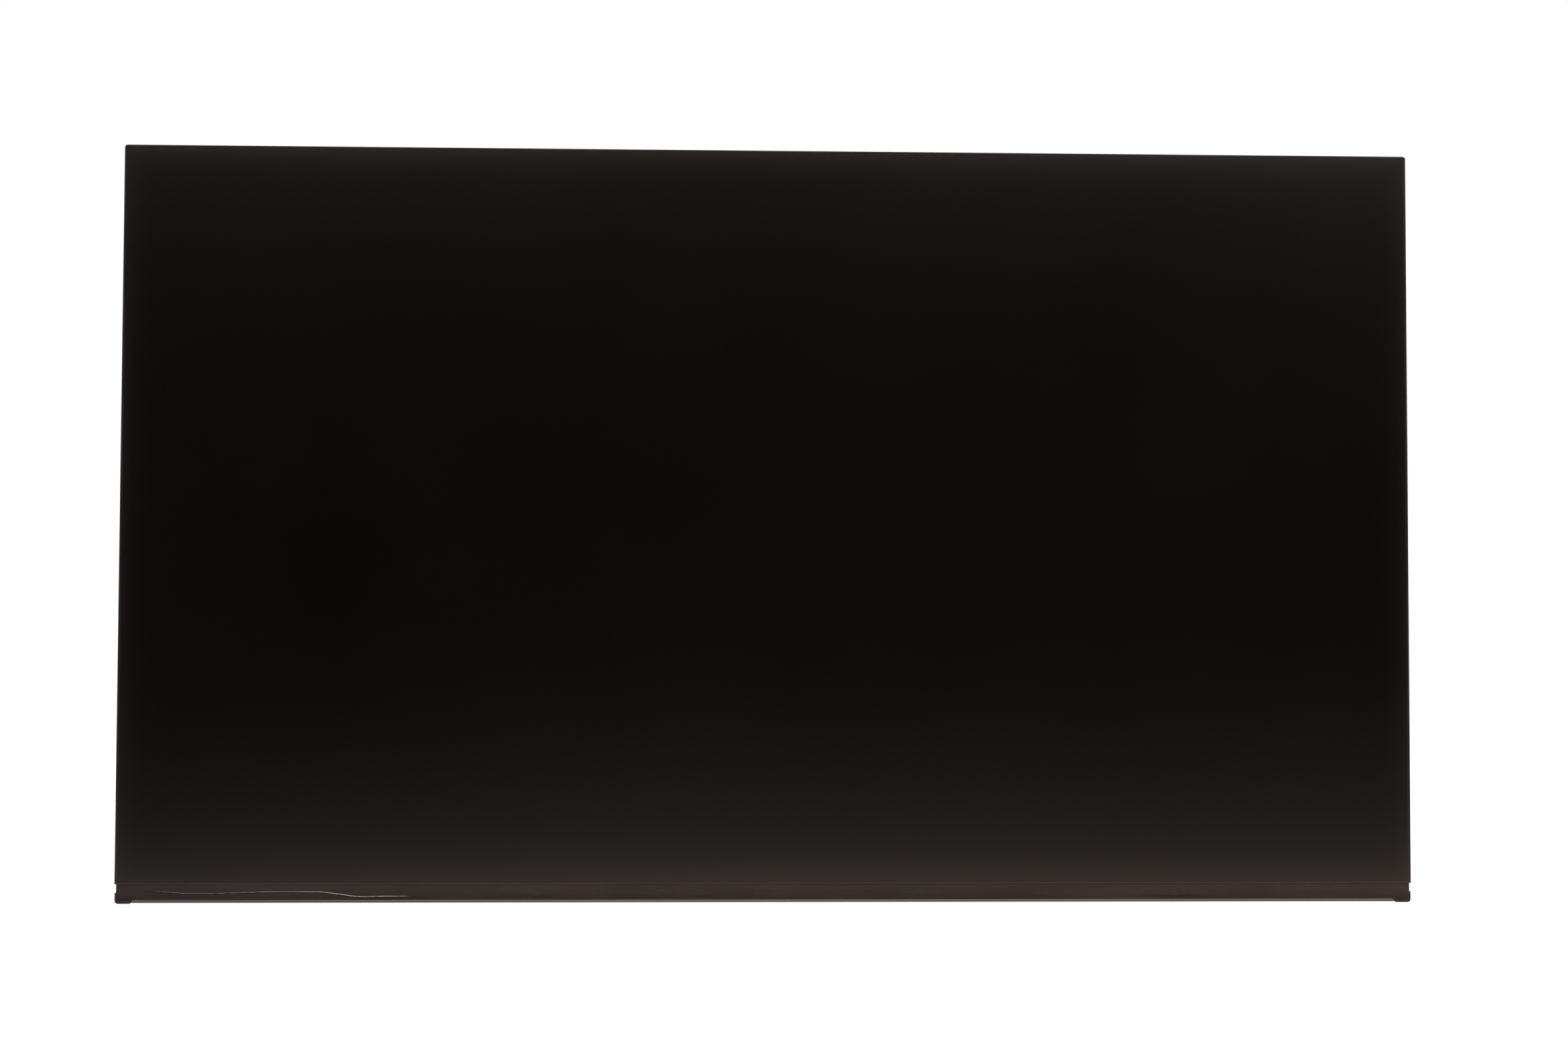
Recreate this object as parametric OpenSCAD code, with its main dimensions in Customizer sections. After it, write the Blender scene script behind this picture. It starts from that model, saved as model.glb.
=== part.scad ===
// Liquid crystal display module of the kind built into a monitor or an all-in-one computer.
// The screen faces -Y and +Z is up. The origin is the centre of the four rear fixing holes, on the
// plane of their bosses. Inside panel_frame() a point is (x, depth behind the front face, height
// above the foot of the corner blocks).

/* [Picture area and borders] */
// Width of the picture area
active_w = 527.04; // [500:0.01:560]
// Height of the picture area
active_h = 296.46; // [280:0.01:320]
// Border from the picture area to the left and right edges
side_border = 4.28; // [4.1:0.02:5]
// Border from the picture area to the top edge
top_border = 3.2; // [3:0.1:5]
// Border from the picture area to the bottom edge
bottom_border = 13.34; // [13:0.02:16]

/* [Cell] */
// Thickness of each polariser
polariser_t = 0.2; // [0.15:0.01:0.25]
// Thickness of each glass plate
glass_t = 0.5; // [0.4:0.05:0.7]
// Strip of bare glass left round the front polariser
polariser_inset = 0.5; // [0.3:0.1:1]
// Strip of rear polariser beyond the picture area
rear_polariser_margin = 0.5; // [0.3:0.1:0.6]
// Gap between the glass and the rim round it
glass_gap = 0.15; // [0.1:0.05:0.25]
// Size of the ground-off corners of the glass
glass_chamfer = 0.6; // [0.3:0.1:1]
// Height of the covered band below the front glass
cover_band_h = 8; // [7:0.1:8.5]
// Height of the rear glass that shows below the front glass, where the films are bonded
ledge_h = 3.3; // [3:0.1:3.4]
// Thickness of the tape that holds the cell on its shelf
cell_tape_t = 0.4; // [0.3:0.05:0.5]
// Distance from the edge of the glass to the cell tape
cell_tape_inset = 0.4; // [0.2:0.1:0.8]
// Thickness of the black cover tape below the screen
cover_tape_t = 0.1; // [0.05:0.01:0.15]

/* [Moulded frame] */
// Thickness of the rim round the glass
rim_t = 0.45; // [0.35:0.05:0.6]
// Distance of the rim behind the front polariser's face
rim_drop = 0.1; // [0:0.05:0.2]
// Thickness of the frame's outer wall
wall_t = 1.1; // [1:0.05:1.2]
// Thickness of the shelf under the cell
shelf_t = 1; // [0.8:0.1:1.2]
// Distance from the picture area to the edge of the shelf
opening_margin = 0.8; // [0.6:0.1:0.9]
// Radius of the outer corners
frame_corner_r = 1.3; // [1.1:0.1:2]
// Width of the block at each bottom corner
block_w = 7; // [6:0.5:9]
// Distance from the top of a corner block to the glass above it
block_gap = 0.3; // [0.2:0.1:0.5]
// Number of catches on each side
side_catches = 4; // [2:1:6]
// Number of catches along the top
top_catches = 7; // [4:1:10]
// Length of a catch window in the wall
window_l = 14; // [10:1:18]
// Width of a catch window
window_w = 1.4; // [1:0.1:1.6]

/* [Light guide and sheets] */
// Thickness of one optical sheet
sheet_t = 0.225; // [0.15:0.005:0.3]
// Strip of optical sheet held under the lower part of the shelf
sheet_overlap = 2.5; // [1.5:0.1:3]
// How far an ear stands out from the side of a sheet
ear_reach = 0.8; // [0.5:0.1:1]
// Length of an ear
ear_l = 12; // [8:1:16]
// Thickness of the light guide plate
guide_t = 2; // [1.5:0.1:3]
// Gap between the light guide and the tray's side walls
guide_side_gap = 1.2; // [1:0.1:1.3]
// Gap between the light guide and the tray's top wall
guide_top_gap = 0.5; // [0.3:0.1:0.6]
// Thickness of the white reflector
reflector_t = 0.2; // [0.15:0.01:0.3]
// Height of a stopper pad beside the light guide
stopper_l = 16; // [10:1:24]

/* [Backlight bar] */
// Number of lamps on the strip
led_count = 56; // [40:1:64]
// Length of a lamp along the strip
led_l = 4; // [3:0.5:5]
// Width of a lamp across the strip
led_w = 1.4; // [1.2:0.1:1.6]
// Height of a lamp
led_t = 0.8; // [0.6:0.1:1]
// Thickness of the lamp strip
strip_t = 0.8; // [0.6:0.1:1]
// Thickness of the tape under the lamp strip
thermal_tape_t = 0.2; // [0.15:0.01:0.3]
// Gap between the lamps and the light guide
lamp_gap = 0.2; // [0.1:0.05:0.4]
// Width of the strip's flexible tail
tail_w = 10; // [6:1:14]

/* [Rear tray] */
// Thickness of the steel
tray_t = 0.7; // [0.6:0.05:0.8]
// Outside radius of the bend between floor and walls
tray_bend_r = 1.2; // [1:0.1:1.5]
// Radius of the tray's corners
tray_corner_r = 2.5; // [2:0.1:3]
// Distance from the tray's edge to the ring of ribs
rib_inset = 30; // [26:1:40]
// Width of a rib along its crest
rib_w = 6; // [4:0.5:8]
// How far a rib stands out behind the floor
rib_rise = 1.4; // [1:0.1:1.8]
// Radius of the ribs' ring at its corners
rib_ring_r = 14; // [10:1:20]
// Gap between the shield's upper tabs and the ring of ribs
rib_ring_gap = 28; // [24:1:34]
// Width of the round hub where the diagonal ribs cross
rib_hub_d = 30; // [16:1:40]
// Length of the short ribs between the ring and the diagonals
field_rib_l = 90; // [40:5:100]
// Width of a short rib along its crest
field_rib_w = 4; // [3:0.5:6]
// Distance from the ring to the short ribs beside it
field_rib_gap = 36; // [30:1:44]
// Length of the two ribs below the ring
foot_rib_l = 110; // [60:5:115]
// Width of the dimples in the tray's corners
dimple_d = 7; // [5:0.5:9]
// How far a dimple stands out behind the floor
dimple_rise = 0.8; // [0.5:0.1:1]
// Distance from the tray's edges to a dimple
dimple_inset = 13; // [11:0.5:14]
// Diameter of the holes that located the sheet in its press
press_hole_d = 4; // [3:0.5:5]
// Distance from the ring's middle line to those holes
press_hole_gap = 12; // [10:0.5:14]
// Length of the slots in a row below the ring's top
row_slot_l = 12; // [8:1:14]
// Width of those slots
row_slot_w = 3; // [2:0.5:4]
// How far a fixing boss stands out behind the floor
boss_rise = 2.8; // [2.6:0.1:4]
// Width of the flat end of a fixing boss
boss_d = 12; // [9:0.5:13]
// Distance between the fixing holes from side to side
fixing_spacing_x = 440; // [420:1:446]
// Distance between the fixing holes from top to bottom
fixing_spacing_z = 180; // [160:1:188]
// Diameter of a fixing hole, tapped for a 3 mm screw
fixing_hole_d = 2.5; // [2:0.1:3]
// Wall of the collar drawn round a fixing hole
collar_t = 0.9; // [0.6:0.1:1.2]
// Length of that collar
collar_l = 1.5; // [1:0.1:1.9]

/* [Driver films] */
// Number of driver films along the bottom edge
film_count = 6; // [4:1:8]
// Width of a film
film_w = 36; // [28:1:40]
// Thickness of a film
film_t = 0.1; // [0.06:0.01:0.15]
// Inside radius of a film's bends
film_bend_r = 0.8; // [0.5:0.1:1]
// Height of a bonded joint
bond_h = 1.8; // [1.2:0.1:2.5]
// Gap between the films and the shield under them
film_gap = 0.6; // [0.4:0.1:0.8]
// Gap between the films and the frame's bottom wall
film_wall_gap = 1.1; // [0.9:0.1:1.2]
// Length of a driver chip
chip_l = 20; // [14:1:24]
// Width of a driver chip
chip_w = 1.2; // [0.8:0.1:1.6]
// Thickness of a driver chip
chip_t = 0.4; // [0.3:0.05:0.5]

/* [Circuit board] */
// Thickness of the circuit board
board_t = 0.8; // [0.6:0.1:1]
// Thickness of the insulating sheet under it
insulator_t = 0.1; // [0.05:0.01:0.15]
// Length of board beyond the outer films
board_end = 9; // [7:1:14]
// Height of the long strip of board
board_h = 14; // [13:0.5:18]
// Width of the control section in the middle
control_w = 120; // [112:1:150]
// Height of the control section above the strip's foot
control_h = 44; // [42:1:54]
// Distance from the edges of the board to its screws
board_screw_edge = 4.2; // [3.6:0.1:5]
// Place of the timing controller's middle along the board
controller_x = 6; // [0:1:8]
// Height of the timing controller's middle above the board's foot
controller_rise = 24; // [22:1:26]
// Length of the timing controller's sides
controller_l = 14; // [10:0.5:16]
// Length of the power chip's sides
power_chip_l = 7; // [5:0.5:8]
// Height of both chips' cases
chip_case_t = 0.9; // [0.7:0.1:1]
// Distance between the middles of the timing controller and the power chip
power_chip_away = 26; // [22:1:30]
// Length of an inductor's sides
inductor_l = 4.5; // [3:0.5:5]
// Gap between parts that lie side by side on the board
part_gap = 1.2; // [1:0.1:2]
// Gap between a chip's case and the capacitors beside it
chip_gap = 1.8; // [1.5:0.1:3]
// Length of a ceramic capacitor
capacitor_l = 1.6; // [1:0.1:1.8]
// Width of a ceramic capacitor
capacitor_w = 0.8; // [0.5:0.1:1]
// Height of a ceramic capacitor
capacitor_t = 0.5; // [0.3:0.1:0.7]
// Place of the signal socket's middle along the board
signal_x = -28; // [-34:1:-24]
// Place of the backlight socket's middle along the board
backlight_x = 34; // [30:1:40]
// Number of contacts in the signal socket
signal_contacts = 30; // [20:2:40]
// Spacing of the signal contacts
signal_pitch = 0.5; // [0.4:0.05:0.6]
// Number of contacts in the backlight socket
backlight_contacts = 6; // [4:1:8]
// Spacing of the backlight contacts
backlight_pitch = 1; // [0.8:0.1:1.25]

/* [Board shield] */
// Thickness of the shield's steel
shield_t = 0.3; // [0.2:0.05:0.4]
// Height of the shield's underside above the foot of the corner blocks
shield_lift = 0.3; // [0.3:0.1:0.8]
// Height of the shield's front lip
lip_h = 1.15; // [1:0.05:1.3]
// Outside radius of the shield's bends
shield_bend_r = 0.8; // [0.6:0.1:0.9]
// Room for components between board and shield
board_room = 1.3; // [1.2:0.05:1.45]
// Distance from the edge of the board to the shield's walls
shield_margin = 3; // [2:0.5:5]
// Radius of the shield's corners
shield_corner_r = 2; // [1:0.5:3]
// Number of fixing tabs along the shield
tab_count = 6; // [4:2:8]
// Width of a fixing tab
tab_w = 9; // [7:0.5:12]
// Length of a fixing tab
tab_l = 6; // [5.5:0.5:8]
// Number of vent slots over the timing controller
vent_count = 7; // [3:1:9]
// Length of a vent slot
vent_l = 22; // [14:1:26]
// Width of a vent slot
vent_w = 1.4; // [1:0.1:1.8]
// Distance between two vent slots
vent_pitch = 2.8; // [2.4:0.1:3.2]
// Length of a gasket
gasket_l = 14; // [8:1:20]
// Width of a gasket
gasket_w = 4; // [3:0.5:6]

/* [Small screws] */
// Diameter of a 2 mm screw's thread
screw_d = 2; // [1.6:0.1:2.2]
// Diameter of its head
screw_head_d = 4; // [3.4:0.1:4.2]
// Height of its head
screw_head_t = 0.7; // [0.5:0.05:0.8]

/* [Hidden] */
$fn = 48;
// Running clearance between parts that slide over each other
fit = 0.1;
// Clearance round a screw's thread
screw_clearance = 0.2;
// How far a cutting shape runs past the face it cuts
cut = 0.5;
// How far a rib's hollow runs into the open side of its sheet
skim = 0.05;

outline_w = active_w + 2 * side_border;
outline_h = active_h + top_border + bottom_border;
half_w = outline_w / 2;

// Depths of the layers behind the front face
cf_depth = polariser_t;
tft_depth = cf_depth + glass_t;
cell_tape_depth = tft_depth + glass_t;
shelf_depth = cell_tape_depth + cell_tape_t;
shelf_back = shelf_depth + shelf_t;
sheets_depth = shelf_back + fit;
guide_depth = sheets_depth + 4 * sheet_t;
reflector_depth = guide_depth + guide_t;
floor_depth = reflector_depth + reflector_t;
tray_back = floor_depth + tray_t;
module_depth = tray_back + boss_rise;
band_depth = tft_depth - film_t;
frame_back = tray_back - fit;

// Heights of the cell's edges
cell_half_w = half_w - rim_t - glass_gap;
cell_top = outline_h - rim_t - glass_gap;
tft_bottom = cover_band_h - ledge_h;
block_h = tft_bottom - block_gap;
active_bottom = bottom_border;
active_top = bottom_border + active_h;

// Heights of the layers that pass under the module, from the shield to the light guide
film_bottom = shield_lift + shield_t + film_gap;
wall_bottom = film_bottom + film_t + film_wall_gap;
tray_bottom = wall_bottom + wall_t + fit;
tray_inner_bottom = tray_bottom + tray_t;
strip_bottom = tray_inner_bottom + thermal_tape_t;
strip_top = strip_bottom + strip_t;
lamp_top = strip_top + led_t;
guide_bottom = lamp_top + lamp_gap;

// Opening in the frame's shelf
opening_half_w = active_w / 2 + opening_margin;
opening_bottom = active_bottom - opening_margin;
opening_top = active_top + opening_margin;

// Tray, light guide and sheets
tray_half_w = half_w - wall_t - fit;
tray_top = outline_h - wall_t - fit;
tray_lip = shelf_back + 3 * fit;
guide_half_w = tray_half_w - tray_t - guide_side_gap;
guide_top = tray_top - tray_t - guide_top_gap;
sheet_half_w = guide_half_w - 2 * fit;
sheet_bottom = opening_bottom - sheet_overlap;
sheet_top = guide_top - fit;
window_depth = floor_depth - 0.4 - window_w;
catch_reach = fit + 0.6;
catch_l = window_l - 4 * fit;

// Lamp strip between the shelf and the tray's floor
lamp_cover_t = 0.15;
strip_front = shelf_back + lamp_cover_t + fit;
strip_back = floor_depth - (tray_bend_r - tray_t);
strip_half_l = guide_half_w - 2;
lamp_pitch = active_w / led_count;
lamp_front = guide_depth + (guide_t - led_w) / 2;
tail_t = 0.15;
tail_bend_r = 0.2;

// Driver films, one to each equal share of the picture's width
film_pitch = active_w / film_count;
tail_x = -film_pitch * (film_count / 2 - 1);

// Circuit board behind the tray
board_clear = 0.5;
board_depth = tray_back + insulator_t;
board_face = board_depth + board_t;
board_bottom = strip_top + board_clear;
board_strip_top = board_bottom + board_h;
board_top = board_bottom + control_h;
board_half_l = film_pitch * (film_count - 1) / 2 + film_w / 2 + board_end;
controller_h = board_bottom + controller_rise;
power_chip_x = controller_x + power_chip_away;
socket_d = 4.4;
signal_t = 1.1;
signal_l = signal_contacts * signal_pitch + 5;
backlight_t = 1.6;
backlight_l = backlight_contacts * backlight_pitch + 3;
socket_wall = 0.3;
shell_t = 0.12;

// Board shield
shield_inside = board_face + board_room;
shield_back = shield_inside + shield_t;
shield_half_l = half_w - block_w - 2 * fit;
shield_strip_top = board_strip_top + shield_margin;
shield_top = board_top + shield_margin;
shield_control_half = control_w / 2 + shield_margin;
lip_depth = band_depth - cover_tape_t - fit / 2;
lip_top = shield_lift + lip_h;
shield_wall_bottom = board_bottom + 0.5;
window_margin = 1.2;

// Ring of ribs on the tray
ring_half_w = tray_half_w - rib_inset;
ring_bottom = shield_top + tab_l + rib_ring_gap;
ring_top = tray_top - rib_inset;

// From (x, depth, height) to the part's own frame
module panel_frame() {
    translate([0, -module_depth, -outline_h / 2]) children();
}

// A flat shape drawn in x and height, t thick and starting at the given depth
module sheet(depth, t) {
    translate([0, depth + t, 0]) rotate([90, 0, 0]) linear_extrude(t) children();
}

// A section drawn in depth and height, run from x0 to x1
module bar(x0, x1) {
    translate([x0, 0, 0]) rotate([90, 0, 90]) linear_extrude(x1 - x0) children();
}

// A bore along the depth at a point given in x and height
module bore(at, depth, l, d) {
    translate([at.x, depth, at.y]) rotate([-90, 0, 0]) cylinder(h = l, d = d);
}

module box2(x0, y0, x1, y1) {
    translate([x0, y0]) square([x1 - x0, y1 - y0]);
}

// Rectangle with round corners
module round_box2(x0, y0, x1, y1, r) {
    box2(x0 + r, y0, x1 - r, y1);
    box2(x0, y0 + r, x1, y1 - r);
    for (x = [x0 + r, x1 - r], y = [y0 + r, y1 - r]) translate([x, y]) circle(r);
}

// Slot with round ends, centred on a point
module slot2(at, l, w) {
    translate(at) {
        square([l - w, w], center = true);
        for (s = [-1, 1]) translate([s * (l - w) / 2, 0]) circle(d = w);
    }
}

// Quarter of a bent strip: its centre, its outside radius and the way it faces
module bend2(at, r, t, facing) {
    translate(at) mirror([facing.x < 0 ? 1 : 0, 0]) mirror([0, facing.y < 0 ? 1 : 0])
        intersection() {
            difference() {
                circle(r);
                circle(r - t);
            }
            square(r);
        }
}

// A section carried round a rounded rectangle. It is drawn as distance from the corner's centre
// against depth.
module swept(x0, h0, x1, h1, r) {
    corners = [[x1 - r, h0 + r], [x1 - r, h1 - r], [x0 + r, h1 - r], [x0 + r, h0 + r]];
    runs = [h1 - h0 - 2 * r, x1 - x0 - 2 * r];
    for (k = [0 : 3])
        translate([corners[k].x, 0, corners[k].y]) rotate([0, -90 * k, 0]) {
            rotate([-90, 0, 0]) rotate_extrude(angle = 90) children();
            linear_extrude(runs[k % 2]) children();
        }
}

// Half of a rib's section, its sides at 45 degrees
module rib_half(top, rise) {
    polygon([[0, 0], [top + rise, 0], [top, rise], [0, rise]]);
}

// A straight rib between two points, with round ends, standing on the plane of depth 0
module rib(a, b, top, rise) {
    run = b - a;
    translate([a.x, 0, a.y]) rotate([0, -atan2(run.y, run.x), 0]) {
        rotate([90, 0, 90]) linear_extrude(norm(run))
            polygon([[0, -top - rise], [rise, -top], [rise, top], [0, top + rise]]);
        for (x = [0, norm(run)])
            translate([x, 0, 0]) rotate([-90, 0, 0]) rotate_extrude() rib_half(top, rise);
    }
}

// How much narrower a pressed rib is inside than outside, for one thickness along its sides
function rib_inset_for(t) = (sqrt(2) - 1) * t;

function catch_heights() = [for (i = [1 : side_catches]) tray_bottom
    + (tray_top - tray_bottom) * (i - 0.5) / side_catches];
function catch_places() = [for (i = [1 : top_catches]) tray_half_w * ((2 * i - 1) / top_catches - 1)];
function film_x(i) = film_pitch * (i - (film_count + 1) / 2);
function lamp_x(i) = lamp_pitch * (i - (led_count + 1) / 2);

// Cell

module front_polariser() color("#0c0c0a") panel_frame() {
    x = cell_half_w - polariser_inset;
    sheet(0, polariser_t)
        round_box2(-x, cover_band_h + polariser_inset, x, cell_top - polariser_inset, glass_chamfer);
}

// Glass plate from a given lower edge to the top of the cell, its corners ground off
module glass_outline(bottom) {
    x = cell_half_w;
    c = glass_chamfer;
    polygon([[-x + c, bottom], [x - c, bottom], [x, bottom + c], [x, cell_top - c],
        [x - c, cell_top], [-x + c, cell_top], [-x, cell_top - c], [-x, bottom + c]]);
}

module colour_filter_glass() color("#10100f") panel_frame()
    sheet(cf_depth, glass_t) glass_outline(cover_band_h);

module tft_glass() color("#1b1d1c") panel_frame()
    sheet(tft_depth, glass_t) glass_outline(tft_bottom);

module rear_polariser() color("#24242a") panel_frame() {
    x = active_w / 2 + rear_polariser_margin;
    sheet(cell_tape_depth, polariser_t)
        box2(-x, active_bottom - rear_polariser_margin, x, active_top + rear_polariser_margin);
}

// Ring of tape between the cell and the shelf
module cell_tape() color("#141414") panel_frame() {
    x = cell_half_w - cell_tape_inset;
    sheet(cell_tape_depth, cell_tape_t) difference() {
        box2(-x, tft_bottom + cell_tape_inset, x, cell_top - cell_tape_inset);
        box2(-opening_half_w - fit, opening_bottom - fit, opening_half_w + fit, opening_top + fit);
    }
}

// Tape over the bonded films, from the shield's lip up to the front glass
module cover_tape() color("#382d2a") panel_frame()
    sheet(band_depth - cover_tape_t, cover_tape_t)
        box2(-cell_half_w, lip_top + fit / 2, cell_half_w, cover_band_h - fit / 2);

// Frame

module mid_frame() color("#231f1c") panel_frame() difference() {
    union() {
        sheet(rim_drop, frame_back - rim_drop)
            round_box2(-half_w, wall_bottom, half_w, outline_h, frame_corner_r);
        for (s = [-1, 1])
            sheet(band_depth, frame_back - band_depth)
                round_box2(s > 0 ? half_w - block_w : -half_w, 0,
                    s > 0 ? half_w : block_w - half_w, block_h, frame_corner_r);
    }
    // Pocket for the cell, open below between the corner blocks
    sheet(-cut, shelf_depth + cut) {
        box2(rim_t - half_w, block_h, half_w - rim_t, outline_h - rim_t);
        box2(block_w - half_w, -cut, half_w - block_w, block_h + cut);
    }
    // Only the cover tape lies in front of the corner blocks
    sheet(-cut, band_depth + cut) box2(-half_w - cut, -cut, half_w + cut, block_h + cut);
    // Window behind the picture area
    sheet(shelf_depth - cut, shelf_t + 2 * cut)
        box2(-opening_half_w, opening_bottom, opening_half_w, opening_top);
    // Room for the tray
    sheet(shelf_back, frame_back - shelf_back + cut)
        round_box2(wall_t - half_w, wall_bottom + wall_t, half_w - wall_t, outline_h - wall_t,
            tray_corner_r);
    // Notch in each side beside the cover tape
    for (s = [-1, 1])
        sheet(-cut, frame_back + 2 * cut)
            box2(s > 0 ? cell_half_w : -half_w - cut, block_h,
                s > 0 ? half_w + cut : -cell_half_w, cover_band_h);
    // Windows for the tray's catches
    for (h = catch_heights(), s = [-1, 1])
        translate([s * half_w, window_depth + window_w / 2, h])
            cube([3 * wall_t, window_w, window_l], center = true);
    for (x = catch_places())
        translate([x, window_depth + window_w / 2, outline_h])
            cube([window_l, window_w, 3 * wall_t], center = true);
}

// Driver films: bonded to the ledge, bent under the module and bonded to the board behind it

module driver_film(i) color("#5a3a17") panel_frame() {
    front = band_depth;
    back = board_face + film_t;
    outer_r = film_bend_r + film_t;
    turn = film_bottom + outer_r;
    bar(film_x(i) - film_w / 2, film_x(i) + film_w / 2) {
        box2(front, turn, front + film_t, tft_bottom + bond_h);
        bend2([front + outer_r, turn], outer_r, film_t, [-1, -1]);
        box2(front + outer_r, film_bottom, back - outer_r, film_bottom + film_t);
        bend2([back - outer_r, turn], outer_r, film_t, [1, -1]);
        box2(board_face, turn, back, board_bottom + bond_h);
    }
}

module driver_chip(i) color("#2b2c31") panel_frame() {
    turn = film_bottom + film_bend_r + film_t;
    middle = (turn + board_bottom) / 2;
    sheet(board_face + film_t, chip_t)
        box2(film_x(i) - chip_l / 2, middle - chip_w / 2, film_x(i) + chip_l / 2, middle + chip_w / 2);
}

// Optical sheets, numbered from the front, with an ear near each corner

module optical_sheet(layer) panel_frame()
    sheet(sheets_depth + layer * sheet_t, sheet_t) {
        box2(-sheet_half_w, sheet_bottom, sheet_half_w, sheet_top);
        for (h = [sheet_bottom + 2 * ear_l, sheet_top - 3 * ear_l])
            box2(-sheet_half_w - ear_reach, h, sheet_half_w + ear_reach, h + ear_l);
    }

module upper_diffuser_sheet() color("#eef0f2") optical_sheet(0);
module upper_prism_sheet() color("#dfe4e8") optical_sheet(1);
module lower_prism_sheet() color("#d5dbe0") optical_sheet(2);
module lower_diffuser_sheet() color("#f4f5f6") optical_sheet(3);

// Light guide and what holds and feeds it

// Heights of the four notches that the stoppers sit in
function stopper_heights() = [guide_bottom + 3 * stopper_l, guide_top - 4 * stopper_l];

module light_guide_plate() color("#cfe3ea") panel_frame() sheet(guide_depth, guide_t)
    difference() {
        box2(-guide_half_w, guide_bottom, guide_half_w, guide_top);
        for (h = stopper_heights(), s = [-1, 1])
            translate([s * guide_half_w, h + stopper_l / 2])
                square([2 * guide_side_gap, stopper_l + 2 * fit], center = true);
    }

module guide_stoppers() color("#e8e6df") panel_frame()
    sheet(guide_depth, strip_back - reflector_t - guide_depth)
    for (h = stopper_heights(), s = [-1, 1])
        translate([s * guide_half_w, h + stopper_l / 2])
            square([2 * guide_side_gap - 2 * fit, stopper_l], center = true);

module reflector_sheet() color("#fafafa") panel_frame()
    sheet(reflector_depth, reflector_t)
        round_box2(-tray_half_w + tray_bend_r + fit, lamp_top, tray_half_w - tray_bend_r - fit,
            tray_top - tray_bend_r - fit, tray_corner_r);

module lamp_cover_strip() color("#f2f2ee") panel_frame()
    sheet(shelf_back, lamp_cover_t)
        box2(-guide_half_w, strip_bottom, guide_half_w, sheet_bottom - 2 * fit);

module thermal_tape() color("#b9c4cc") panel_frame()
    bar(-strip_half_l, strip_half_l)
        box2(strip_front, tray_inner_bottom, strip_back, strip_bottom);

module lamp_strip() color("#f0efe9") panel_frame()
    bar(-strip_half_l, strip_half_l)
        box2(strip_front, strip_bottom, strip_back, strip_top);

// Lamps along the strip, each with its light-giving face sunk into the body
module lamps() color("#f6e9a8") panel_frame() {
    rim = 0.25;
    for (i = [1 : led_count]) difference() {
        translate([lamp_x(i) - led_l / 2, lamp_front, strip_top]) cube([led_l, led_w, led_t]);
        translate([lamp_x(i) - led_l / 2 + rim, lamp_front + rim, lamp_top - led_t / 3])
            cube([led_l - 2 * rim, led_w - 2 * rim, led_t]);
    }
}

// Flexible tail from the lamp strip, through the tray's floor and up on to the board
module lamp_strip_tail() color("#a5611f") panel_frame() {
    outer_r = tail_bend_r + tail_t;
    back = board_face + tail_t;
    turn = strip_top - tail_t + outer_r;
    bar(tail_x - tail_w / 2, tail_x + tail_w / 2) {
        box2(strip_back, strip_top - tail_t, back - outer_r, strip_top);
        bend2([back - outer_r, turn], outer_r, tail_t, [1, -1]);
        box2(board_face, turn, back, board_bottom + 2 * bond_h);
    }
}

// Rear tray: a pressed steel pan with ribs, fixing bosses and catches

function fixing_points() = [for (x = [-1, 1], z = [-1, 1])
    [x * fixing_spacing_x / 2, outline_h / 2 + z * fixing_spacing_z / 2]];
// The diagonals run into the ring halfway round its corners
diagonal_inset = rib_ring_r * (1 - cos(45));
function diagonal_ends() = [[ring_half_w - diagonal_inset, ring_bottom + diagonal_inset],
    [ring_half_w - diagonal_inset, ring_top - diagonal_inset]];

// Ends of the short ribs: one between the ring and the diagonals on each side, and two below
middle_h = (ring_bottom + ring_top) / 2;
function field_ribs() = concat(
    [for (h = [ring_bottom + field_rib_gap, ring_top - field_rib_gap])
        [[-field_rib_l / 2, h], [field_rib_l / 2, h]]],
    [for (s = [-1, 1]) let (x = s * (ring_half_w - 2 * field_rib_gap))
        [[x, middle_h - field_rib_l / 3], [x, middle_h + field_rib_l / 3]]]);
foot_rib_h = (shield_strip_top + tab_l + ring_bottom) / 2;
foot_rib_x = (shield_control_half + fixing_spacing_x / 2) / 2;
function foot_ribs() = [for (s = [-1, 1])
    [[s * foot_rib_x - foot_rib_l / 2, foot_rib_h], [s * foot_rib_x + foot_rib_l / 2, foot_rib_h]]];
function dimple_points() = [for (s = [-1, 1], h = [tray_top - dimple_inset, foot_rib_h])
    [s * (tray_half_w - dimple_inset), h]];

// A round pressing with sloping sides
module round_pressing(at, half_w, rise) {
    translate([at.x, 0, at.y]) rotate([-90, 0, 0]) rotate_extrude() rib_half(half_w, rise);
}

// Everything that is pressed outwards, as seen on one face of the sheet
module tray_pressings(narrower, extra) {
    top = rib_w / 2 - narrower;
    rise = rib_rise + extra;
    swept(-ring_half_w, ring_bottom, ring_half_w, ring_top, rib_ring_r)
        translate([rib_ring_r, 0])
            polygon([[-top - rise, 0], [top + rise, 0], [top, rise], [-top, rise]]);
    ends = diagonal_ends();
    rib([-ends[0].x, ends[0].y], ends[1], top, rise);
    rib([-ends[1].x, ends[1].y], ends[0], top, rise);
    round_pressing([0, middle_h], rib_hub_d / 2 - narrower, rise);
    for (r = concat(field_ribs(), foot_ribs()))
        rib(r[0], r[1], field_rib_w / 2 - narrower, rise);
    for (p = fixing_points()) round_pressing(p, boss_d / 2 - narrower, boss_rise + extra);
    for (p = dimple_points()) round_pressing(p, dimple_d / 2 - narrower, dimple_rise + extra);
}

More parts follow.
